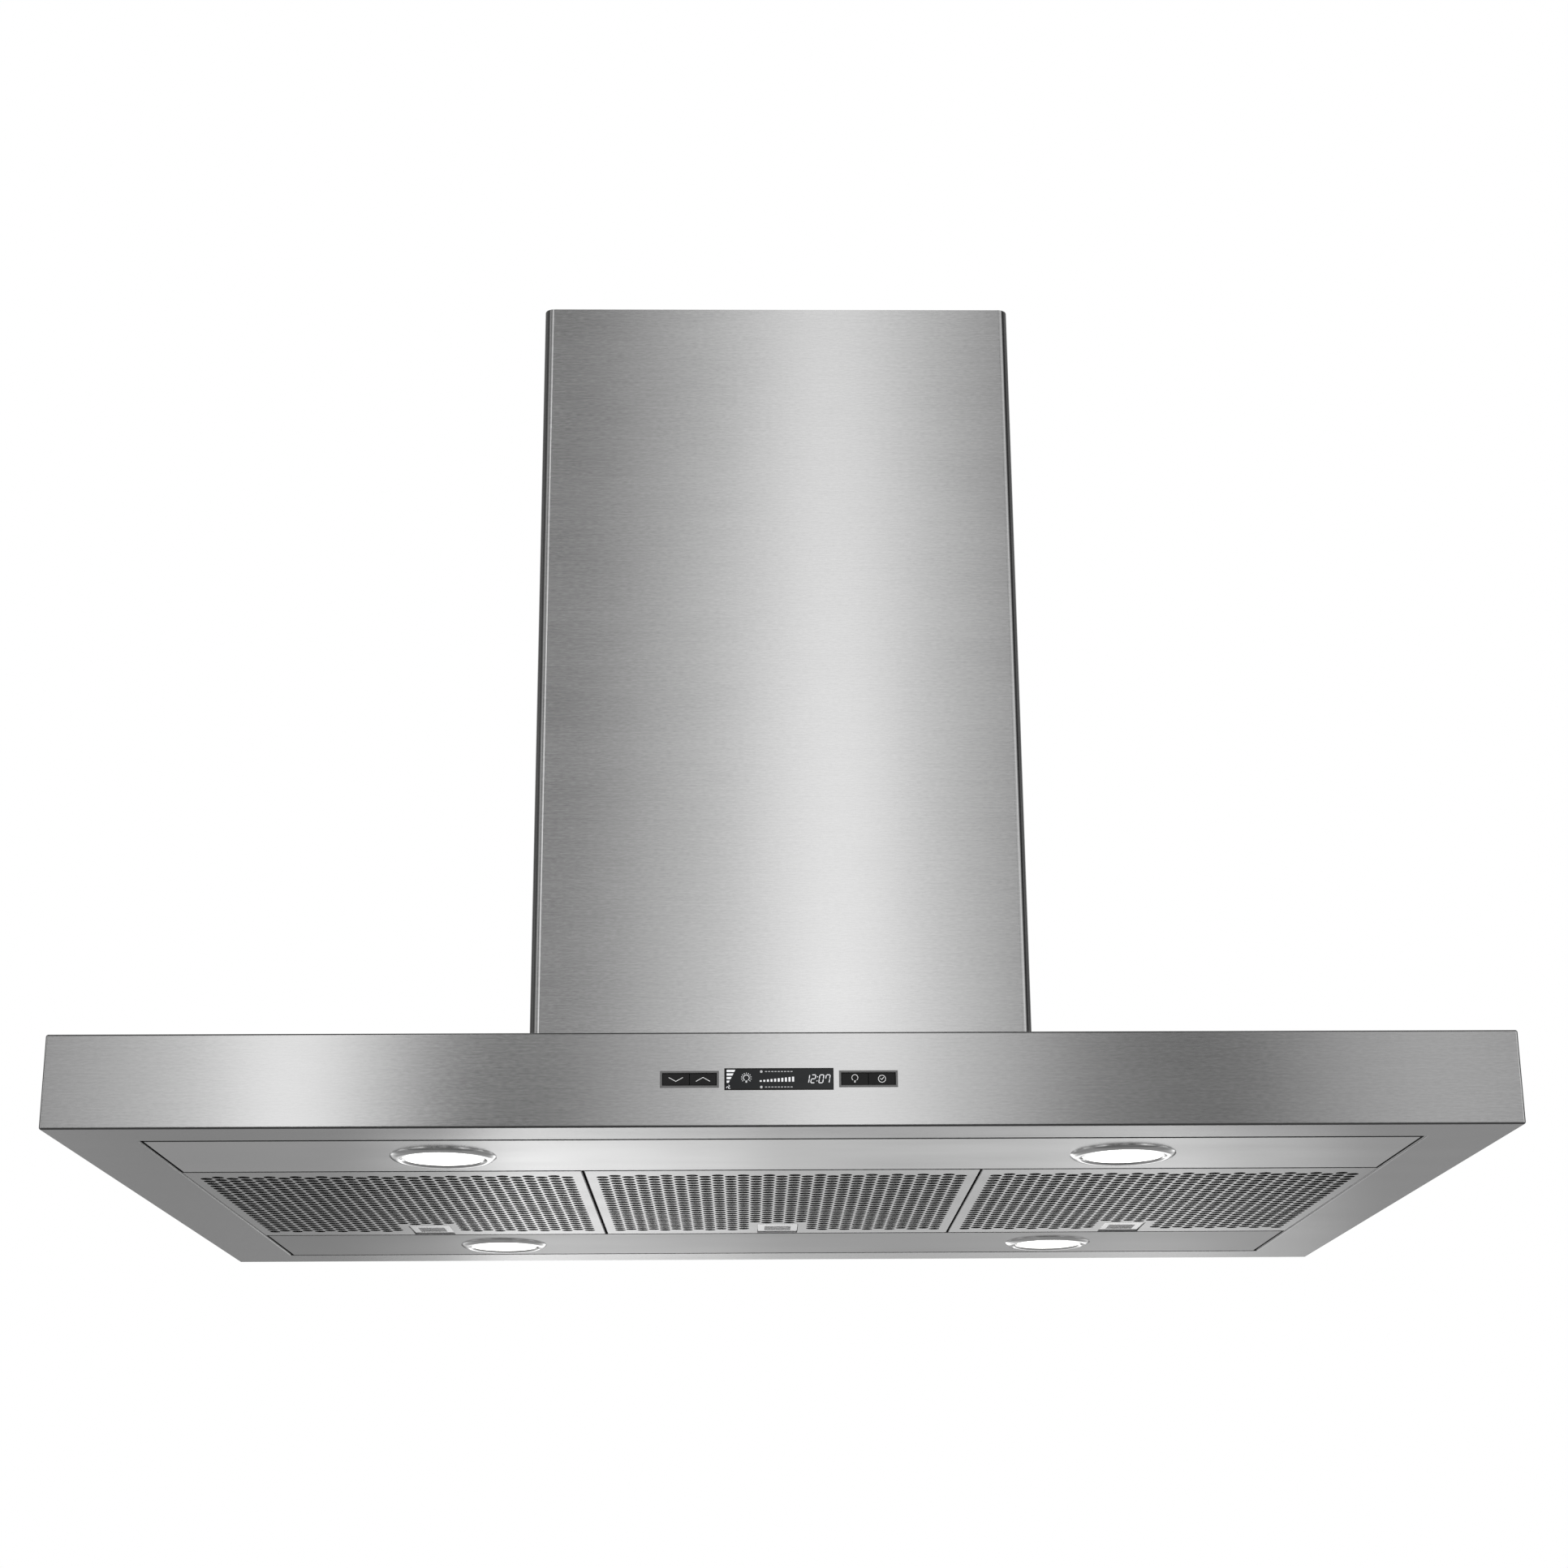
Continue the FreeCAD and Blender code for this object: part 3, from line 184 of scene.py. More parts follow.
def brushed_steel(name, tone, roughness, anisotropy, lines=1.0, bay=True):
    """Stainless steel brushed along X, or along Y on faces that look along X. Reflections spread
    across the brushing. The sheet is very slightly uneven, and its brushing is cloudy in places.
    lines says how strong the brushing is. Bends get painted shade, and with bay the bay's upright faces too."""

    def build(g):
        coordinates = g.node("ShaderNodeTexCoord")
        x, y, z = g.split(coordinates.outputs["Object"])
        normal_x, _, normal_z = g.split(coordinates.outputs["Normal"])
        looks_sideways = g.maths("GREATER_THAN", g.maths("ABSOLUTE", normal_x), FACING)
        lies_flat = g.maths("GREATER_THAN", g.maths("ABSOLUTE", normal_z), FACING)
        along = g.mix(looks_sideways, x, y)
        across = g.mix(lies_flat, z, y)

        grain = 0.0
        for length, width, share in GRAIN_LINES:
            spot = g.join(g.maths("DIVIDE", along, length), g.maths("DIVIDE", across, width))
            grain = g.maths("MULTIPLY_ADD", g.noise(spot, 1.0), share, grain)
        grain = g.remap(grain, *GRAIN_NOISE, 0.0, 1.0)
        patch = g.join(g.maths("DIVIDE", along, CLOUD_LENGTH), g.maths("DIVIDE", across, CLOUD_WIDTH))
        cloud = g.remap(g.noise(patch, 1.0, 3.0), 0.3, 0.7, 0.0, 1.0)

        shade = g.maths("MULTIPLY_ADD", cloud, CLOUD_SHARE, g.maths("MULTIPLY", grain, 1 - CLOUD_SHARE))
        spread = TONE_SPREAD * lines
        colour = g.blend(shade, grey(tone * (1 - spread)), grey(tone * (1 + spread)))
        # Painted shade darkens bends and the bay's seams and holes towards near black.
        seam = seam_shade(g, coordinates.outputs["Object"], coordinates.outputs["Normal"], bay)
        colour = g.blend(g.maths("MULTIPLY", seam, SEAM_SHADE_STRENGTH), colour, grey(SEAM_SHADE_TONE))
        least_rough = roughness - (GRAIN_ROUGHNESS + CLOUD_ROUGHNESS) / 2
        rough = g.maths("MULTIPLY_ADD", grain, GRAIN_ROUGHNESS * lines, least_rough)
        rough = g.maths("MULTIPLY_ADD", cloud, CLOUD_ROUGHNESS, rough)
        uneven = g.bump(g.noise(coordinates.outputs["Object"], UNEVEN_SCALE, 1.0), UNEVEN_DEPTH * lines)
        lined = g.bump(grain, GRAIN_DEPTH * lines, under=uneven)
        tangent = g.join(0.0, lies_flat, g.maths("SUBTRACT", 1.0, lies_flat))
        tangent = g.node("ShaderNodeVectorTransform", {0: tangent}, vector_type="VECTOR",
                         convert_from="OBJECT", convert_to="WORLD").outputs[0]
        return g.principled(Base_Color=colour, Metallic=1.0, Roughness=rough, Anisotropic=anisotropy,
                            Tangent=tangent, Normal=lined)

    return material(name, build)


def galvanised(g):
    """Zinc-coated sheet: large crystal spangles, each with its own shade and gloss, and dull blotches."""
    place = object_place(g)
    swirl = g.node("ShaderNodeTexNoise", {"Vector": place, "Scale": 60.0}).outputs[1]
    shift = (0.006, 0.006, 0.006)
    inputs = {0: place, 1: swirl, 2: shift}
    warped = g.node("ShaderNodeVectorMath", inputs, operation="MULTIPLY_ADD").outputs[0]
    cells = g.node("ShaderNodeTexVoronoi", {"Vector": warped, "Scale": 95.0})
    spangle, _, _ = g.split(cells.outputs["Color"])
    feather = g.noise(warped, 420.0, 3.0, 0.65)
    shade = g.maths("MULTIPLY_ADD", feather, 0.4, g.maths("MULTIPLY", spangle, 0.6))
    blotch = g.remap(g.noise(place, 14.0, 4.0), 0.4, 0.7, 0.0, 1.0)
    colour = g.blend(shade, (0.40, 0.42, 0.44, 1.0), (0.66, 0.68, 0.70, 1.0))
    colour = g.blend(g.maths("MULTIPLY", blotch, 0.35), colour, (0.46, 0.47, 0.47, 1.0))
    rough = g.maths("MULTIPLY_ADD", blotch, 0.15, g.remap(spangle, 0.0, 1.0, 0.28, 0.46))
    return g.principled(Base_Color=colour, Metallic=1.0, Roughness=rough, Normal=g.bump(shade, 0.00003))


def zinc(g):
    """Bright zinc plating with a faint yellow passivation and handling marks."""
    place = object_place(g)
    stain = g.remap(g.noise(place, 220.0, 4.0, 0.6), 0.35, 0.7, 0.0, 1.0)
    colour = g.blend(stain, (0.70, 0.71, 0.73, 1.0), (0.58, 0.56, 0.48, 1.0))
    rough = g.remap(g.noise(place, 900.0, 3.0), 0.3, 0.7, 0.2, 0.38)
    return g.principled(Base_Color=colour, Metallic=1.0, Roughness=rough,
                        Normal=g.bump(g.noise(place, 1500.0), 0.00001))


def chrome(g):
    """Polished plating with the faintest smear and a little orange peel."""
    place = object_place(g)
    smear = g.remap(g.noise(place, 70.0, 4.0, 0.6), 0.35, 0.75, 0.0, 1.0)
    colour = g.blend(smear, grey(0.86), grey(0.76))
    rough = g.remap(smear, 0.0, 1.0, 0.07, 0.16)
    return g.principled(Base_Color=colour, Metallic=1.0, Roughness=rough,
                        Normal=g.bump(g.noise(place, 260.0, 1.0), 0.00002))


WIRE_PITCH = 1.9 * MM


def woven_aluminium(g):
    """Crimped wire mesh: wires along X and Y pass over and under each other, with painted shade between them.
    Its lower side is darker, partly from grease and partly as painted shade; its upper side is painted
    lighter."""
    coordinates = g.node("ShaderNodeTexCoord")
    x, y, _ = g.split(coordinates.outputs["Object"])
    _, _, normal_z = g.split(coordinates.outputs["Normal"])
    u = g.maths("DIVIDE", x, WIRE_PITCH)
    v = g.maths("DIVIDE", y, WIRE_PITCH)

    def wave(value, turns):
        """A wave with that many half turns for each pitch."""
        return g.maths("COSINE", g.maths("MULTIPLY", value, turns * math.pi))

    weave = g.maths("MULTIPLY", wave(u, 1.0), wave(v, 1.0))
    along_x = g.maths("MULTIPLY_ADD", weave, 0.35, g.remap(wave(v, 2.0), -0.2, 1.0, 0.0, 0.65))
    along_y = g.maths("MULTIPLY_ADD", weave, -0.35, g.remap(wave(u, 2.0), -0.2, 1.0, 0.0, 0.65))
    height = g.maths("MAXIMUM", along_x, along_y, clamp=True)
    dirt = g.noise(coordinates.outputs["Object"], 55.0, 3.0)
    # Painted shade: each side darkens towards the low parts between the wires. The lower side's darkness is
    # partly grease and partly painted shade, and the upper side's lightness is painted light.
    greasy_shaded_side = g.ramp(height, ((0.0, 0.001), (0.4, 0.003), (0.7, 0.014), (1.0, 0.07)))
    clean_lit_side = g.ramp(height, ((0.0, 0.10), (0.4, 0.30), (0.7, 0.55), (1.0, 0.75)))
    colour = g.blend(g.maths("GREATER_THAN", normal_z, 0.5), greasy_shaded_side, clean_lit_side)
    colour = g.blend(g.remap(dirt, 0.45, 0.8, 0.0, 0.35), colour, (0.030, 0.028, 0.025, 1.0))
    return g.principled(Base_Color=colour, Metallic=0.85, Roughness=g.remap(dirt, 0.3, 0.7, 0.36, 0.52),
                        Normal=g.bump(height, 0.0004))


def motor_paint(g):
    """Satin black enamel with orange peel and thin dust on top of it."""
    coordinates = g.node("ShaderNodeTexCoord")
    place = coordinates.outputs["Object"]
    _, _, normal_z = g.split(coordinates.outputs["Normal"])
    dust = g.maths("MULTIPLY", g.remap(normal_z, 0.2, 1.0, 0.0, 0.5), g.noise(place, 40.0, 4.0))
    colour = g.blend(dust, grey(0.028), (0.20, 0.19, 0.17, 1.0))
    rough = g.maths("MULTIPLY_ADD", dust, 0.5, 0.34)
    peel = g.bump(g.noise(place, 650.0, 2.0), 0.00008)
    return g.principled(Base_Color=colour, Roughness=rough, Normal=peel)


# ---- plastics, glass and the rest ---------------------------------------------------------------
def moulded_plastic(name, level, roughness, texture_scale, depth, gloss=0.5):
    """Moulded plastic with a fine spark-eroded texture, patchy gloss and lighter rubbed high spots."""

    def build(g):
        place = object_place(g)
        texture = g.noise(place, texture_scale, 3.0, 0.6)
        patch = g.noise(place, texture_scale / 40, 3.0)
        colour = g.blend(g.remap(texture, 0.3, 0.75, 0.0, 1.0), grey(level * 0.8), grey(level * 1.25))
        rough = g.maths("MULTIPLY_ADD", patch, 0.16, roughness - 0.08)
        return g.principled(Base_Color=colour, Roughness=rough, Normal=g.bump(texture, depth),
                            Specular_IOR_Level=gloss)

    return material(name, build)


display_low, display_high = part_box("display_glass")
DISPLAY_BORDER_X = 1.1 * MM         # black border round the lit area
DISPLAY_BORDER_Z = 0.9 * MM
DISPLAY_FADE = 0.3 * MM
DISPLAY_DOT_PITCH = 0.7 * MM


def display_glass(g):
    """Black glass with a slightly paler lit area behind it, wiped but not spotless."""
    centre = (display_low + display_high) / 2
    half = (display_high - display_low) / 2
    x, _, z = g.split(object_place(g))
    off_x = g.maths("ABSOLUTE", g.maths("SUBTRACT", x, centre.x))
    off_z = g.maths("ABSOLUTE", g.maths("SUBTRACT", z, centre.z))
    edge_x = g.maths("SUBTRACT", half.x - DISPLAY_BORDER_X, off_x)
    edge_z = g.maths("SUBTRACT", half.z - DISPLAY_BORDER_Z, off_z)
    inside = g.remap(g.maths("MINIMUM", edge_x, edge_z), 0.0, DISPLAY_FADE, 0.0, 1.0)
    dot_x = g.maths("SINE", g.maths("MULTIPLY", x, 2 * math.pi / DISPLAY_DOT_PITCH))
    dot_z = g.maths("SINE", g.maths("MULTIPLY", z, 2 * math.pi / DISPLAY_DOT_PITCH))
    dots = g.maths("MULTIPLY", dot_x, dot_z)
    level = g.maths("MULTIPLY", inside, g.remap(dots, -1.0, 1.0, 0.7, 1.0))
    colour = g.blend(level, grey(0.003), (0.008, 0.009, 0.010, 1.0))
    wipe = g.noise(g.join(g.maths("MULTIPLY", x, 30.0), g.maths("MULTIPLY", z, 260.0)), 1.0, 3.0)
    return g.principled(Base_Color=colour, Roughness=g.remap(wipe, 0.4, 0.7, 0.05, 0.16), IOR=1.3)


LENS_GLOW = 7.0


def lamp_lens(g):
    """Frosted lens lit from behind, brightest in the middle, with a stippled inner face."""
    x, y, _ = g.split(g.node("ShaderNodeTexCoord").outputs["Generated"])
    off_x = g.maths("SUBTRACT", x, 0.5)
    off_y = g.maths("SUBTRACT", y, 0.5)
    squares = g.maths("MULTIPLY_ADD", off_x, off_x, g.maths("MULTIPLY", off_y, off_y))
    radius = g.maths("MULTIPLY", g.maths("SQRT", squares), 2.0)
    stipple = g.noise(object_place(g), 900.0, 2.0)
    glow = g.ramp(radius, ((0.0, 1.0), (0.55, 0.8), (0.86, 0.42), (0.97, 0.16)), "EASE")
    glow = g.maths("MULTIPLY", glow, g.remap(stipple, 0.3, 0.7, 0.9, 1.1))
    return g.principled(Base_Color=(0.9, 0.9, 0.88, 1.0), Roughness=g.remap(stipple, 0.3, 0.7, 0.3, 0.5),
                        Normal=g.bump(stipple, 0.00006), Emission_Color=(1.0, 0.985, 0.95, 1.0),
                        Emission_Strength=g.maths("MULTIPLY", glow, LENS_GLOW))


def lamp_module(g):
    """Pressed glass reflector lamp with a ceramic base that has yellowed a little with heat."""
    place = object_place(g)
    _, _, z = g.split(g.node("ShaderNodeTexCoord").outputs["Generated"])
    glaze = g.noise(place, 160.0, 3.0)
    heated = g.maths("MULTIPLY", g.remap(z, 0.35, 0.9, 0.0, 1.0), g.remap(glaze, 0.3, 0.7, 0.5, 1.0))
    colour = g.blend(heated, (0.82, 0.82, 0.80, 1.0), (0.62, 0.54, 0.40, 1.0))
    return g.principled(Base_Color=colour, Roughness=g.remap(glaze, 0.3, 0.7, 0.25, 0.5),
                        Normal=g.bump(glaze, 0.0001))


def circuit_board(g):
    """Green solder mask over copper tracks, with rows of tinned pads."""
    x, _, z = g.split(object_place(g))
    tracks = g.node("ShaderNodeTexBrick", {
        "Vector": g.join(x, z), "Scale": 90.0, "Mortar Size": 0.09, "Color1": grey(0.0), "Color2": grey(0.25),
        "Mortar": grey(1.0),
    }).outputs["Color"]
    pads = g.node("ShaderNodeTexVoronoi", {"Vector": g.join(x, z), "Scale": 260.0, "Randomness": 0.15})
    pad = g.maths("LESS_THAN", pads.outputs["Distance"], 0.22)
    row = g.maths("GREATER_THAN", g.noise(g.join(x, z), 45.0, 0.0), 0.56)
    tinned = g.maths("MULTIPLY", pad, row)
    mask = g.blend(tracks, (0.010, 0.085, 0.035, 1.0), (0.03, 0.20, 0.08, 1.0))
    colour = g.blend(tinned, mask, (0.62, 0.60, 0.56, 1.0))
    height = g.maths("MULTIPLY_ADD", tracks, 0.4, tinned)
    return g.principled(Base_Color=colour, Metallic=tinned, Roughness=g.mix(tinned, 0.32, 0.25),
                        Normal=g.bump(height, 0.00008))


def cable_sheath(g):
    """Dark grey PVC with slight ridges along it and a chalky bloom."""
    place = object_place(g)
    bloom = g.remap(g.noise(place, 120.0, 4.0), 0.4, 0.8, 0.0, 0.6)
    ridges = g.noise(place, 1400.0, 2.0)
    colour = g.blend(bloom, grey(0.035), grey(0.09))
    return g.principled(Base_Color=colour, Roughness=g.remap(ridges, 0.3, 0.7, 0.45, 0.65),
                        Normal=g.bump(ridges, 0.00005))


def display_light(name, strength):
    """White display light of that strength, with the slight unevenness of a diffuser."""

    def build(g):
        spread = g.noise(object_place(g), 700.0, 2.0)
        glow = g.remap(spread, 0.3, 0.7, strength * 0.88, strength * 1.08)
        return g.principled(Base_Color=grey(0.08), Roughness=0.4, Emission_Color=(0.97, 0.98, 1.0, 1.0),
                            Emission_Strength=glow)

    return material(name, build)


def printed_symbol(g):
    """Light grey pad print, thin and a little worn."""
    wear = g.noise(object_place(g), 1200.0, 3.0)
    colour = g.blend(g.remap(wear, 0.35, 0.75, 0.0, 1.0), grey(0.62), grey(0.38))
    return g.principled(Base_Color=colour, Roughness=g.remap(wear, 0.3, 0.7, 0.45, 0.6),
                        Normal=g.bump(wear, 0.00002))


# Materials by the slot of the record that they fill. The two light panels share the canopy's slot and
# have their own, in NODE_LOOKS, with less brushing and tones lighter than the canopy's as painted light.
LOOKS = {
    "canopy_steel": brushed_steel("canopy_steel_brushed", 0.58, 0.23, 0.92),
    "chimney_steel": brushed_steel("chimney_steel_brushed", 0.685, 0.235, 0.92, bay=False),
    "filter_steel": brushed_steel("filter_steel_satin", 0.64, 0.25, 0.90, lines=0.4),
    "filter_mesh": material("filter_mesh_woven", woven_aluminium),
    "latch_steel": brushed_steel("latch_steel_satin", 0.84, 0.22, 0.7, lines=0.35, bay=False),
    "galvanised_steel": material("galvanised_sheet", galvanised),
    "zinc_fasteners": material("zinc_plating", zinc),
    "motor_paint": material("motor_enamel", motor_paint),
    "lamp_trim_chrome": material("lamp_trim_plating", chrome),
    "lamp_lens_glass": material("lamp_lens_frosted", lamp_lens),
    "lamp_module": material("lamp_module_glass", lamp_module),
    "display_black": material("display_black_glass", display_glass),
    "bezel_plastic": moulded_plastic("bezel_grey", 0.085, 0.42, 2600.0, 0.00003),
    "key_black": moulded_plastic("key_black_satin", 0.006, 0.40, 3200.0, 0.00001, gloss=0.25),
    "black_plastic": moulded_plastic("housing_black", 0.022, 0.55, 1300.0, 0.00012),
    "circuit_board": material("board_green", circuit_board),
    "cable_sheath": material("cable_sheath_pvc", cable_sheath),
}
NODE_LOOKS = {
    # Painted light: both panels are lighter than the canopy's steel.
    "light_panel_front": brushed_steel("front_panel_steel_satin_painted_light", 0.72, 0.24, 0.90, lines=0.4),
    "light_panel_back": brushed_steel("back_panel_steel_satin_painted_light", 0.61, 0.34, 0.90, lines=0.4),
}
for name, node in nodes.items():
    for place in node.material_slots:
        place.material = NODE_LOOKS.get(name, LOOKS[slot_of[name]])


# ---- symbols on the display and the keys --------------------------------------------------------
# Outlines are in millimetres from the centre of the face that they lie on, x to the right, y up.
SYMBOL_THICKNESS = 0.12
STROKE = 0.42
MITRE_LIMIT = 0.3            # least cosine at a mitre, which keeps a sharp joint from running far out


def ribbon(points, width=STROKE, closed=False):
    """A stroke of even width along the points, as four-sided outlines with mitred joints."""
    count = len(points)
    rails = []
    for index, point in enumerate(points):
        here = Vector(point)
        before = Vector(points[index - 1]) if closed or index else None
        after = Vector(points[(index + 1) % count]) if closed or index < count - 1 else None
        into = (here - before).normalized() if before else (after - here).normalized()
        out = (after - here).normalized() if after else into
        side = Vector((-(into + out).y, (into + out).x)).normalized()
        square = Vector((-into.y, into.x))
        reach = width / 2 / max(side.dot(square), MITRE_LIMIT)
        rails.append((here + side * reach, here - side * reach))
    outlines = []
    for index in range(count if closed else count - 1):
        (left, right), (next_left, next_right) = rails[index], rails[(index + 1) % count]
        outlines.append([left, next_left, next_right, right])
    return outlines


def arc(x, y, radius, start, end, steps=20):
    """Points on an arc, in degrees anticlockwise from the right."""
    angles = [math.radians(start + (end - start) * step / steps) for step in range(steps + 1)]
    return [(x + radius * math.cos(a), y + radius * math.sin(a)) for a in angles]


def disc(x, y, radius, steps=20):
    """The corners of a round outline."""
    return arc(x, y, radius, 0, 360 - 360 / steps, steps - 1)


def rectangle(x0, y0, x1, y1):
    return [(x0, y0), (x1, y0), (x1, y1), (x0, y1)]


def symbol(name, outlines, node, body, look):
    """A thin raised print on the front face of a CAD node, riding with its body."""
    low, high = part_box(node)
    centre = (low + high) / 2
    mesh = bmesh.new()
    for outline in outlines:
        rings = []
        for depth in (-SYMBOL_THICKNESS / 2, SYMBOL_THICKNESS / 2):
            rings.append([mesh.verts.new((centre.x + px * MM, low.y + depth * MM, centre.z + py * MM))
                          for px, py in outline])
        front, back = rings
        mesh.faces.new(front)
        mesh.faces.new(back[::-1])
        for index in range(len(outline)):
            after = (index + 1) % len(outline)
            mesh.faces.new((front[index], back[index], back[after], front[after]))
    bmesh.ops.recalc_face_normals(mesh, faces=mesh.faces[:])
    data = bpy.data.meshes.new(name)
    mesh.to_mesh(data)
    mesh.free()
    piece = bpy.data.objects.new(name, data)
    bpy.context.scene.collection.objects.link(piece)
    data.materials.append(look)
    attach(piece, body)


SEGMENTS = {"0": "abcdef", "1": "bc", "2": "abged", "7": "abcf"}     # the bars that each digit lights
DIGIT_WIDTH = 3.5
DIGIT_HEIGHT = 6.5
DIGIT_BAR = 0.62
DIGIT_GAP = 0.12             # left free at each end of a bar
DIGIT_SLANT = 0.16


def digit(character, centre_x):
    """A seven-segment figure, leaning a little to the right."""
    half_x = (DIGIT_WIDTH - DIGIT_BAR) / 2
    half_y = (DIGIT_HEIGHT - DIGIT_BAR) / 2
    corners = {
        "a": ((-half_x, half_y), (half_x, half_y)), "g": ((-half_x, 0), (half_x, 0)),
        "d": ((-half_x, -half_y), (half_x, -half_y)), "f": ((-half_x, 0), (-half_x, half_y)),
        "b": ((half_x, 0), (half_x, half_y)), "e": ((-half_x, -half_y), (-half_x, 0)),
        "c": ((half_x, -half_y), (half_x, 0)),
    }
    outlines = []
    for bar in SEGMENTS[character]:
        start, end = (Vector(p) for p in corners[bar])
        way = (end - start).normalized()
        across = Vector((-way.y, way.x)) * DIGIT_BAR / 2
        tip = way * DIGIT_BAR / 2
        start += way * DIGIT_GAP
        end -= way * DIGIT_GAP
        upper = [start + tip + across, end - tip + across]
        lower = [end - tip - across, start + tip - across]
        outlines.append([(centre_x + p.x + p.y * DIGIT_SLANT, p.y) for p in [start, *upper, end, *lower]])
    return outlines


BASE_RINGS = 3
BASE_RING_PITCH = 0.55
BASE_RING_HALF = (0.6, 0.17)
BASE_GAP = 0.1


def bulb_outline(x, y, radius):
    """A lamp bulb: an open ring over a short screw base."""
    outlines = ribbon(arc(x, y, radius, -55, 235))
    half_x, half_y = BASE_RING_HALF
    for step in range(BASE_RINGS):
        height = y - radius - BASE_GAP - BASE_RING_PITCH * step
        outlines.append(rectangle(x - half_x, height - half_y, x + half_x, height + half_y))
    return outlines


# Offsets are from the display's left edge, heights from its middle.
WEDGE_OFFSET = 1.7
WEDGE_BARS = 4
WEDGE_BAR = 1.65
WEDGE_PITCH = 2.65
WEDGE_TOP = 6.9
WEDGE_TOP_WIDTH = 6.3
WEDGE_FOOT = -3.7            # where its slanted side would have come down to WEDGE_FOOT_WIDTH
WEDGE_FOOT_WIDTH = 0.9
FAN_INSET = 1.3              # of the small fan's middle from the wedge's left side
FAN_HEIGHT = -5.9
FAN_BLADES = 3
BLADE_RADIUS = 0.75
BLADE_STROKE = 0.35
BULB_OFFSET = 15.9
BULB_HEIGHT = 0.9
BULB_RADIUS = 2.1
BULB_RAYS = 11
FIRST_RAY_TURN = -40         # in degrees anticlockwise from the right
RAY_TURN = 26                # from each ray to the next
RAY_START = 2.95             # from the bulb's middle
RAY_LENGTH = 0.85
RAY_STROKE = 0.4
METER_OFFSET = 25.6
METER_BARS = 10
METER_PITCH = 2.6
METER_BAR = 1.4
METER_FOOT = -2.0
METER_FIRST = -0.9           # top of the meter's lowest bar, and how much each next one rises
METER_RISE = 0.28
CLOCK_DIGITS = (("1", 20.4), ("2", 24.8), ("0", 30.6), ("7", 35.2))    # with x from the middle, like COLON_X
COLON_X = 27.7
COLON_HALF = 1.5
COLON_RADIUS = 0.38
REMINDER_HEIGHTS = (5.5, -5.9)
REMINDER_OFFSET = 26.7
REMINDER_RADIUS = 0.95
DASH_OFFSET = 29.4
DASHES = 9
DASH_PITCH = 2.3
DASH_LENGTH = 1.5
DASH_HALF = 0.28
display_left = (display_low.x - display_high.x) / 2 / MM


def wedge_symbol():
    """Fan speed wedge, its widest bar on top, over a small fan."""
    left = display_left + WEDGE_OFFSET
    slope = (WEDGE_TOP_WIDTH - WEDGE_FOOT_WIDTH) / (WEDGE_TOP - WEDGE_FOOT)
    outlines = []
    for step in range(WEDGE_BARS):
        top = WEDGE_TOP - step * WEDGE_PITCH
        bottom = top - WEDGE_BAR
        low_x, high_x = (left + WEDGE_FOOT_WIDTH + slope * (level - WEDGE_FOOT) for level in (bottom, top))
        outlines.append([(left, bottom), (low_x, bottom), (high_x, top), (left, top)])
    for blade in range(FAN_BLADES):
        turn = 90 + 360 / FAN_BLADES * blade
        x = left + FAN_INSET + BLADE_RADIUS * math.cos(math.radians(turn))
        y = FAN_HEIGHT + BLADE_RADIUS * math.sin(math.radians(turn))
        outlines += ribbon(arc(x, y, BLADE_RADIUS, turn - 180, turn, 8), BLADE_STROKE)
    return outlines


def shining_bulb():
    """A lamp bulb with rays round it, but none over its base."""
    middle = Vector((display_left + BULB_OFFSET, BULB_HEIGHT))
    outlines = bulb_outline(middle.x, middle.y, BULB_RADIUS)
    for ray in range(BULB_RAYS):
        turn = math.radians(FIRST_RAY_TURN + RAY_TURN * ray)
        direction = Vector((math.cos(turn), math.sin(turn)))
        start = middle + direction * RAY_START
        outlines += ribbon([start, start + direction * RAY_LENGTH], RAY_STROKE)
    return outlines


def level_meter():
    """Bars that rise to the right."""
    outlines = []
    for step in range(METER_BARS):
        x = display_left + METER_OFFSET + step * METER_PITCH
        outlines.append(rectangle(x, METER_FOOT, x + METER_BAR, METER_FIRST + METER_RISE * step))
    return outlines


def clock():
    outlines = []
    for character, centre_x in CLOCK_DIGITS:
        outlines += digit(character, centre_x)
    for y in (-COLON_HALF, COLON_HALF):
        outlines.append(disc(COLON_X + y * DIGIT_SLANT, y, COLON_RADIUS, 10))
    return outlines


def reminder_lamps():
    """Two small lamps over and under the level meter, each with a dashed line."""
    outlines = []
    for y in REMINDER_HEIGHTS:
        outlines.append(disc(display_left + REMINDER_OFFSET, y, REMINDER_RADIUS))
        for dash in range(DASHES):
            x = display_left + DASH_OFFSET + dash * DASH_PITCH
            outlines.append(rectangle(x, y - DASH_HALF, x + DASH_LENGTH, y + DASH_HALF))
    return outlines


bright = display_light("display_light_bright", 0.80)
faint = display_light("display_light_faint", 0.42)
printed = material("key_print", printed_symbol)
display_symbols = wedge_symbol() + shining_bulb() + level_meter() + clock()
symbol("display_symbols", display_symbols, "display_glass", "hood", bright)
symbol("display_reminders", reminder_lamps(), "display_glass", "hood", faint)

CHEVRON = [(-5.1, 1.45), (0.0, -1.45), (5.1, 1.45)]
DIAL = ribbon(arc(0, 0, 2.6, 0, 345, 24), closed=True)
DIAL_HANDS = ribbon([(-1.2, 0.35), (-0.2, -0.6), (1.3, 1.1)], 0.45)
KEY_SYMBOLS = {
    "speed_down": ribbon(CHEVRON),
    "speed_up": ribbon([(x, -y) for x, y in CHEVRON]),
    "light": bulb_outline(0.0, 0.9, 2.2),
    "timer": DIAL + DIAL_HANDS,
}
for key, outlines in KEY_SYMBOLS.items():
    symbol(f"print_{key}", outlines, f"button_{key}", f"button_{key}", printed)


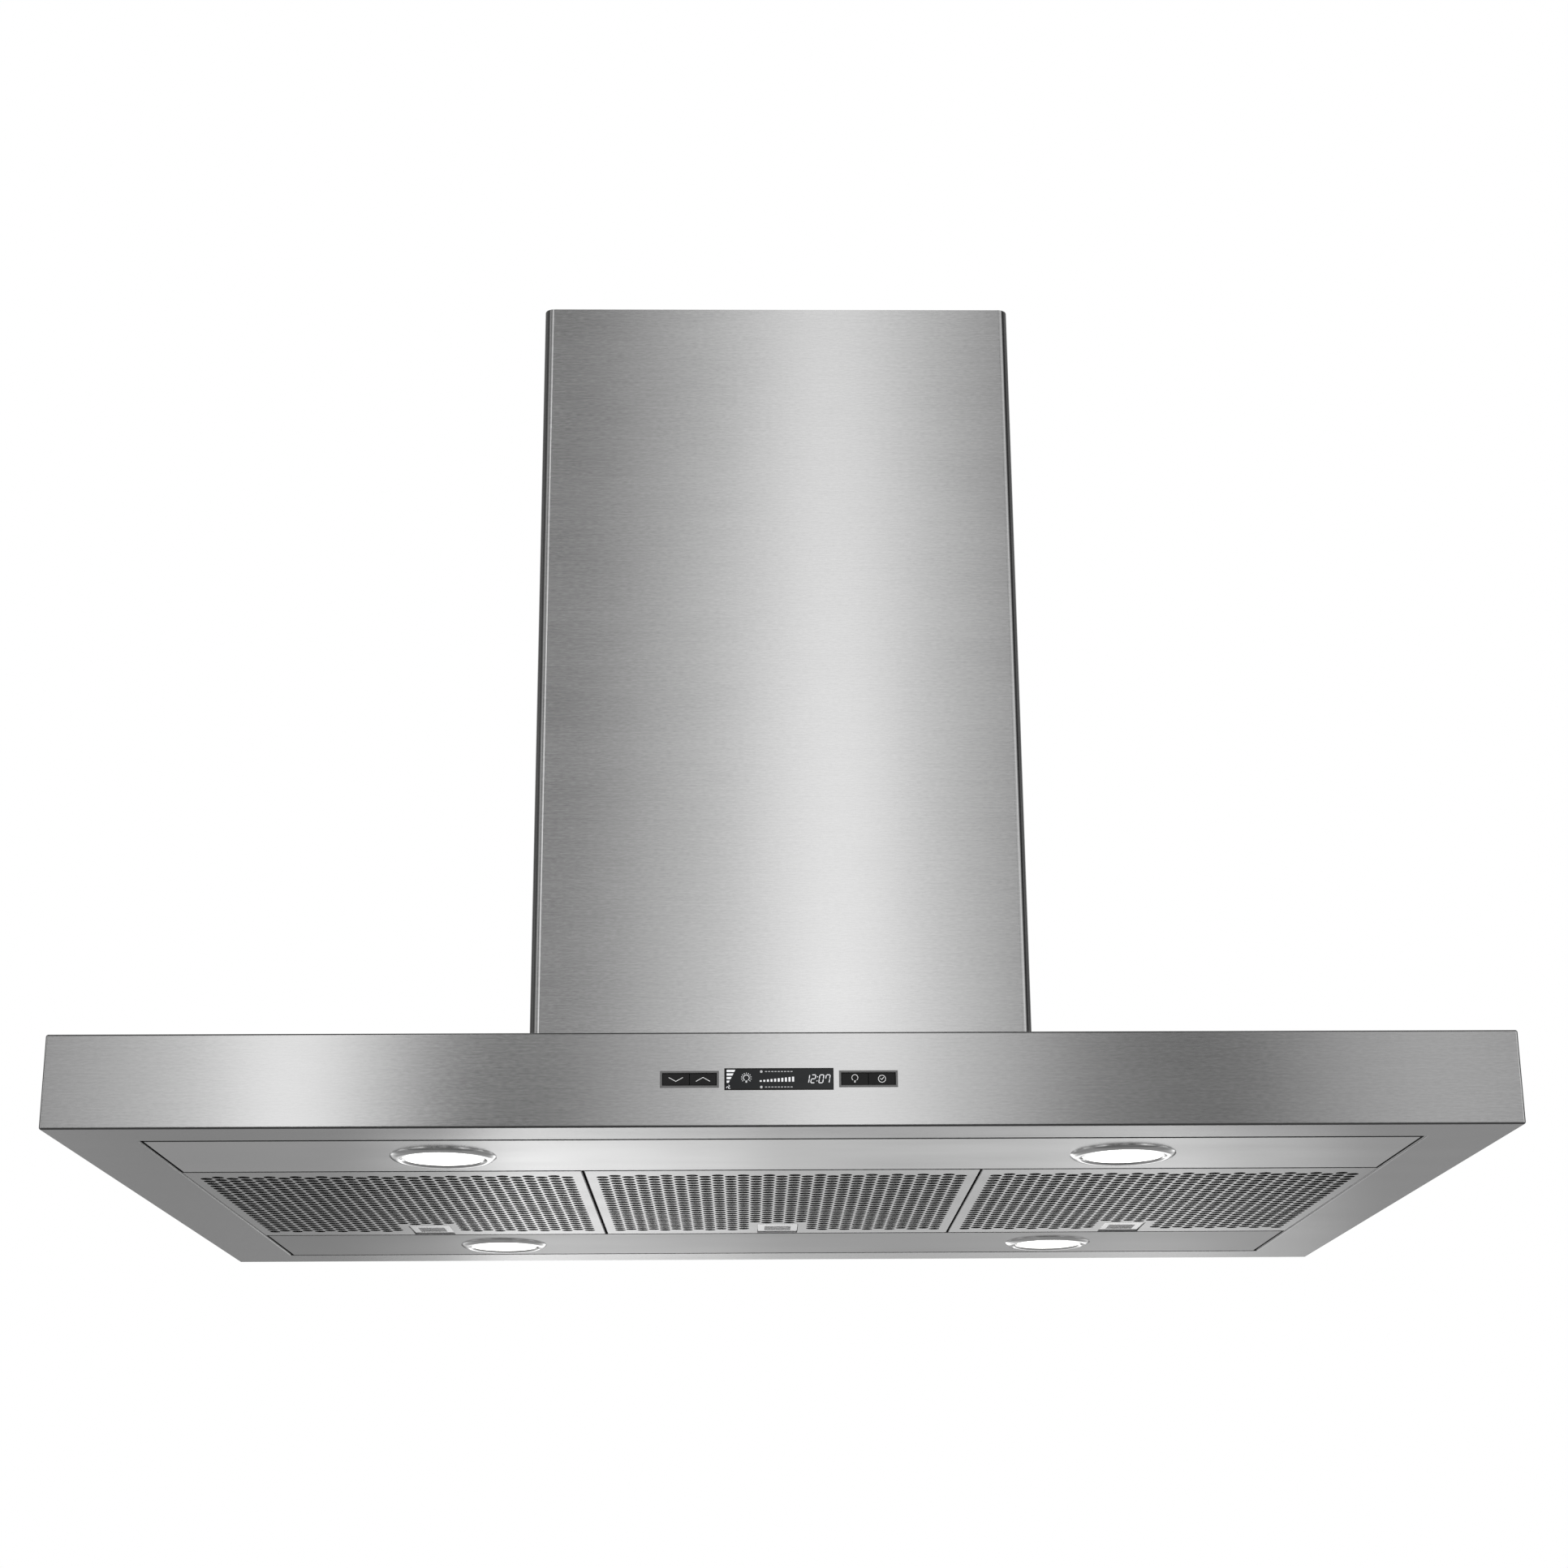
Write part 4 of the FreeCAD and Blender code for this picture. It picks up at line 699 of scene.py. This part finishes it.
# ---- camera -------------------------------------------------------------------------------------
LENS = 54.24                 # millimetres on a 36 mm sensor
SHIFT_UP = 0.1               # of the picture's width
CAMERA_PLACE = (-0.02975, -2.02165, -1.09956)
CAMERA_YAW = -0.0174         # this and the next two are in radians
CAMERA_PITCH = 0.2697
CAMERA_ROLL = 0.0072

camera_data = bpy.data.cameras.new("camera")
camera_data.lens = LENS
camera_data.shift_y = SHIFT_UP
camera = bpy.data.objects.new("camera", camera_data)
bpy.context.scene.collection.objects.link(camera)
camera.matrix_world = (
    Matrix.Translation(CAMERA_PLACE) @ Matrix.Rotation(CAMERA_YAW, 4, "Z")
    @ Matrix.Rotation(CAMERA_PITCH, 4, "X") @ Matrix.Rotation(CAMERA_ROLL, 4, "Y")
    @ Matrix.Rotation(math.pi / 2, 4, "X")
)
bpy.context.scene.camera = camera


# ---- studio -------------------------------------------------------------------------------------
FLOOR_HEIGHT = -2.4
FLOOR_HALF = 30.0
TENT_RADIUS = 3.2
TENT_BASE = -1.7
TENT_TOP = 3.6
TENT_SIDES = 96
TENT_STRENGTH = 1.6
# Brightness of the light tent by direction, in degrees from straight in front (-Y) or straight behind
# (+Y) towards +X. Soft boxes and dark cards between them give the flat steel faces their broad bands.
FRONT_BANDS = (
    (-90, 0.42), (-78, 0.16), (-66, 0.22), (-55, 0.56), (-44, 0.60), (-35, 0.10), (-28, 0.22), (-25, 0.33),
    (-20.5, 0.56), (-16, 1.20), (-13.5, 0.68), (-10.3, 0.13), (-8, 0.17), (-3, 0.46), (3.5, 1.00),
    (7.5, 0.54), (12.5, 0.20), (16.5, 0.13), (20, 0.36), (23.3, 0.48), (28, 0.30), (36, 0.75), (52, 0.60),
    (62, 0.06), (80, 0.14), (90, 0.45),
)
LOW_FRONT_BANDS = (
    (-90, 0.42), (-70, 0.20), (-52, 0.45), (-42, 0.65), (-30, 0.20), (-18, 0.08), (0, 0.22), (18, 0.10),
    (30, 0.30), (42, 0.75), (52, 0.45), (70, 0.20), (90, 0.45),
)
BACK_BANDS = (
    (-90, 0.42), (-76, 0.16), (-58, 0.20), (-46, 0.46), (-34, 0.24), (-24, 0.20), (-17, 0.23), (-13.5, 0.40),
    (-9.5, 0.88), (-6, 0.75), (-2.5, 0.63), (1.5, 0.47), (6, 0.43), (10.5, 0.46), (16.5, 0.60), (20.5, 0.44),
    (25, 0.24), (34, 0.20), (46, 0.46), (58, 0.26), (76, 0.16), (90, 0.45),
)
LOW_BAND_TOP = -1.25         # below this height the front has LOW_FRONT_BANDS, which fade up to the next one
LOW_BAND_END = -0.95
SHADE_INNER = 1.0            # radius of the dark middle of the tent's floor and roof, and where it ends
SHADE_OUTER = 3.1
SHADE_LEVEL = 0.2
SHADE_GLOW = 0.10            # what little light the dark middle still gives
# Changes of brightness with height, each as two heights and the levels there.
FRONT_FADE = (-0.4, 2.4, 1.0, 0.62)
BACK_FOOT = (-1.46, -1.22, 1.75, 0.44)
BACK_HEAD = (-0.7, 0.1, 0.0, 0.6)
LIGHTS_AIM = (0, 0, -0.4)


def staged(name, mesh, look):
    """An object of the studio, which isn't part of the hood."""
    data = bpy.data.meshes.new(name)
    mesh.to_mesh(data)
    mesh.free()
    data.materials.append(look)
    made = bpy.data.objects.new(name, data)
    bpy.context.scene.collection.objects.link(made)
    return made


def floor_paper(g):
    """Pale studio paper with a barely uneven surface."""
    fibre = g.noise(object_place(g), 40.0, 3.0)
    colour = g.blend(fibre, grey(0.86), grey(0.90))
    return g.principled(Base_Color=colour, Roughness=0.9, Normal=g.bump(fibre, 0.0002))


def tent_light(g):
    """The bands by direction, fading with height and towards the middle of the floor and the roof."""
    x, y, z = g.split(object_place(g))

    def bands(table, facing):
        """facing is -1 for the front half of the tent and 1 for its back half."""
        turn = g.maths("ARCTAN2", x, g.maths("MULTIPLY", y, facing))
        stops = [((degrees + 90) / 180, level) for degrees, level in table]
        return g.ramp(g.maths("MULTIPLY_ADD", turn, 1 / math.pi, 0.5), stops, "EASE")

    front = g.mix(g.remap(z, LOW_BAND_TOP, LOW_BAND_END, 0.0, 1.0), bands(LOW_FRONT_BANDS, -1.0),
                  bands(FRONT_BANDS, -1.0))
    around = g.mix(g.maths("GREATER_THAN", y, 0.0), front, bands(BACK_BANDS, 1.0))
    radius = g.maths("SQRT", g.maths("MULTIPLY_ADD", x, x, g.maths("MULTIPLY", y, y)))
    shade = g.remap(radius, SHADE_INNER, SHADE_OUTER, SHADE_LEVEL, 1.0)
    around = g.maths("MULTIPLY", around, g.maths("MULTIPLY", shade, shade))
    around = g.maths("MULTIPLY_ADD", g.maths("SUBTRACT", 1.0, shade), SHADE_GLOW, around)
    behind = g.maths("ADD", g.remap(z, *BACK_FOOT), g.remap(z, *BACK_HEAD))
    fade = g.mix(g.maths("GREATER_THAN", y, 0.0), g.remap(z, *FRONT_FADE), behind)
    strength = g.maths("MULTIPLY", g.maths("MULTIPLY", around, fade), TENT_STRENGTH)
    return g.node("ShaderNodeEmission", {"Color": grey(1.0), "Strength": strength}).outputs[0]


def make_floor():
    mesh = bmesh.new()
    bmesh.ops.create_grid(mesh, x_segments=2, y_segments=2, size=FLOOR_HALF)
    floor = staged("floor", mesh, material("floor_paper", floor_paper))
    floor.location.z = FLOOR_HEIGHT


def make_tent():
    """A round light tent, closed above and below, that shows in reflections only."""
    mesh = bmesh.new()
    height = TENT_TOP - TENT_BASE
    bmesh.ops.create_cone(mesh, cap_ends=True, segments=TENT_SIDES, radius1=TENT_RADIUS, radius2=TENT_RADIUS,
                          depth=height, matrix=Matrix.Translation((0, 0, TENT_BASE + height / 2)))
    tent = staged("light_tent", mesh, material("tent_light", tent_light))
    for ray in ("camera", "diffuse", "transmission", "volume_scatter", "shadow"):
        setattr(tent, f"visible_{ray}", False)


def area_light(name, place, size, power):
    """A soft square light of that width in metres and power in watts, aimed at the hood."""
    data = bpy.data.lights.new(name, "AREA")
    data.shape = "SQUARE"
    data.size = size
    data.energy = power
    light = bpy.data.objects.new(name, data)
    light.location = place
    light.rotation_euler = (Vector(LIGHTS_AIM) - Vector(place)).to_track_quat("-Z", "Y").to_euler()
    light.visible_camera = False
    light.visible_glossy = False
    bpy.context.scene.collection.objects.link(light)


def make_world():
    """Plain white behind the object, and soft grey light from all round."""
    world = bpy.data.worlds.new("studio")
    world.use_nodes = True
    g = Graph(world.node_tree)
    seen = g.node("ShaderNodeLightPath").outputs["Is Camera Ray"]
    background = g.node("ShaderNodeBackground", {"Color": grey(1.0), "Strength": g.mix(seen, 1.1, 1.0)})
    g.node("ShaderNodeOutputWorld", {"Surface": background.outputs[0]})
    bpy.context.scene.world = world


make_floor()
make_tent()
make_world()
area_light("key_light", (-1.7, -2.3, 1.4), 1.6, 45.0)
area_light("fill_light", (2.2, -1.6, 0.2), 1.8, 25.0)
area_light("back_light", (0.8, 2.4, 1.2), 1.6, 30.0)
bpy.context.scene.view_settings.view_transform = "Standard"
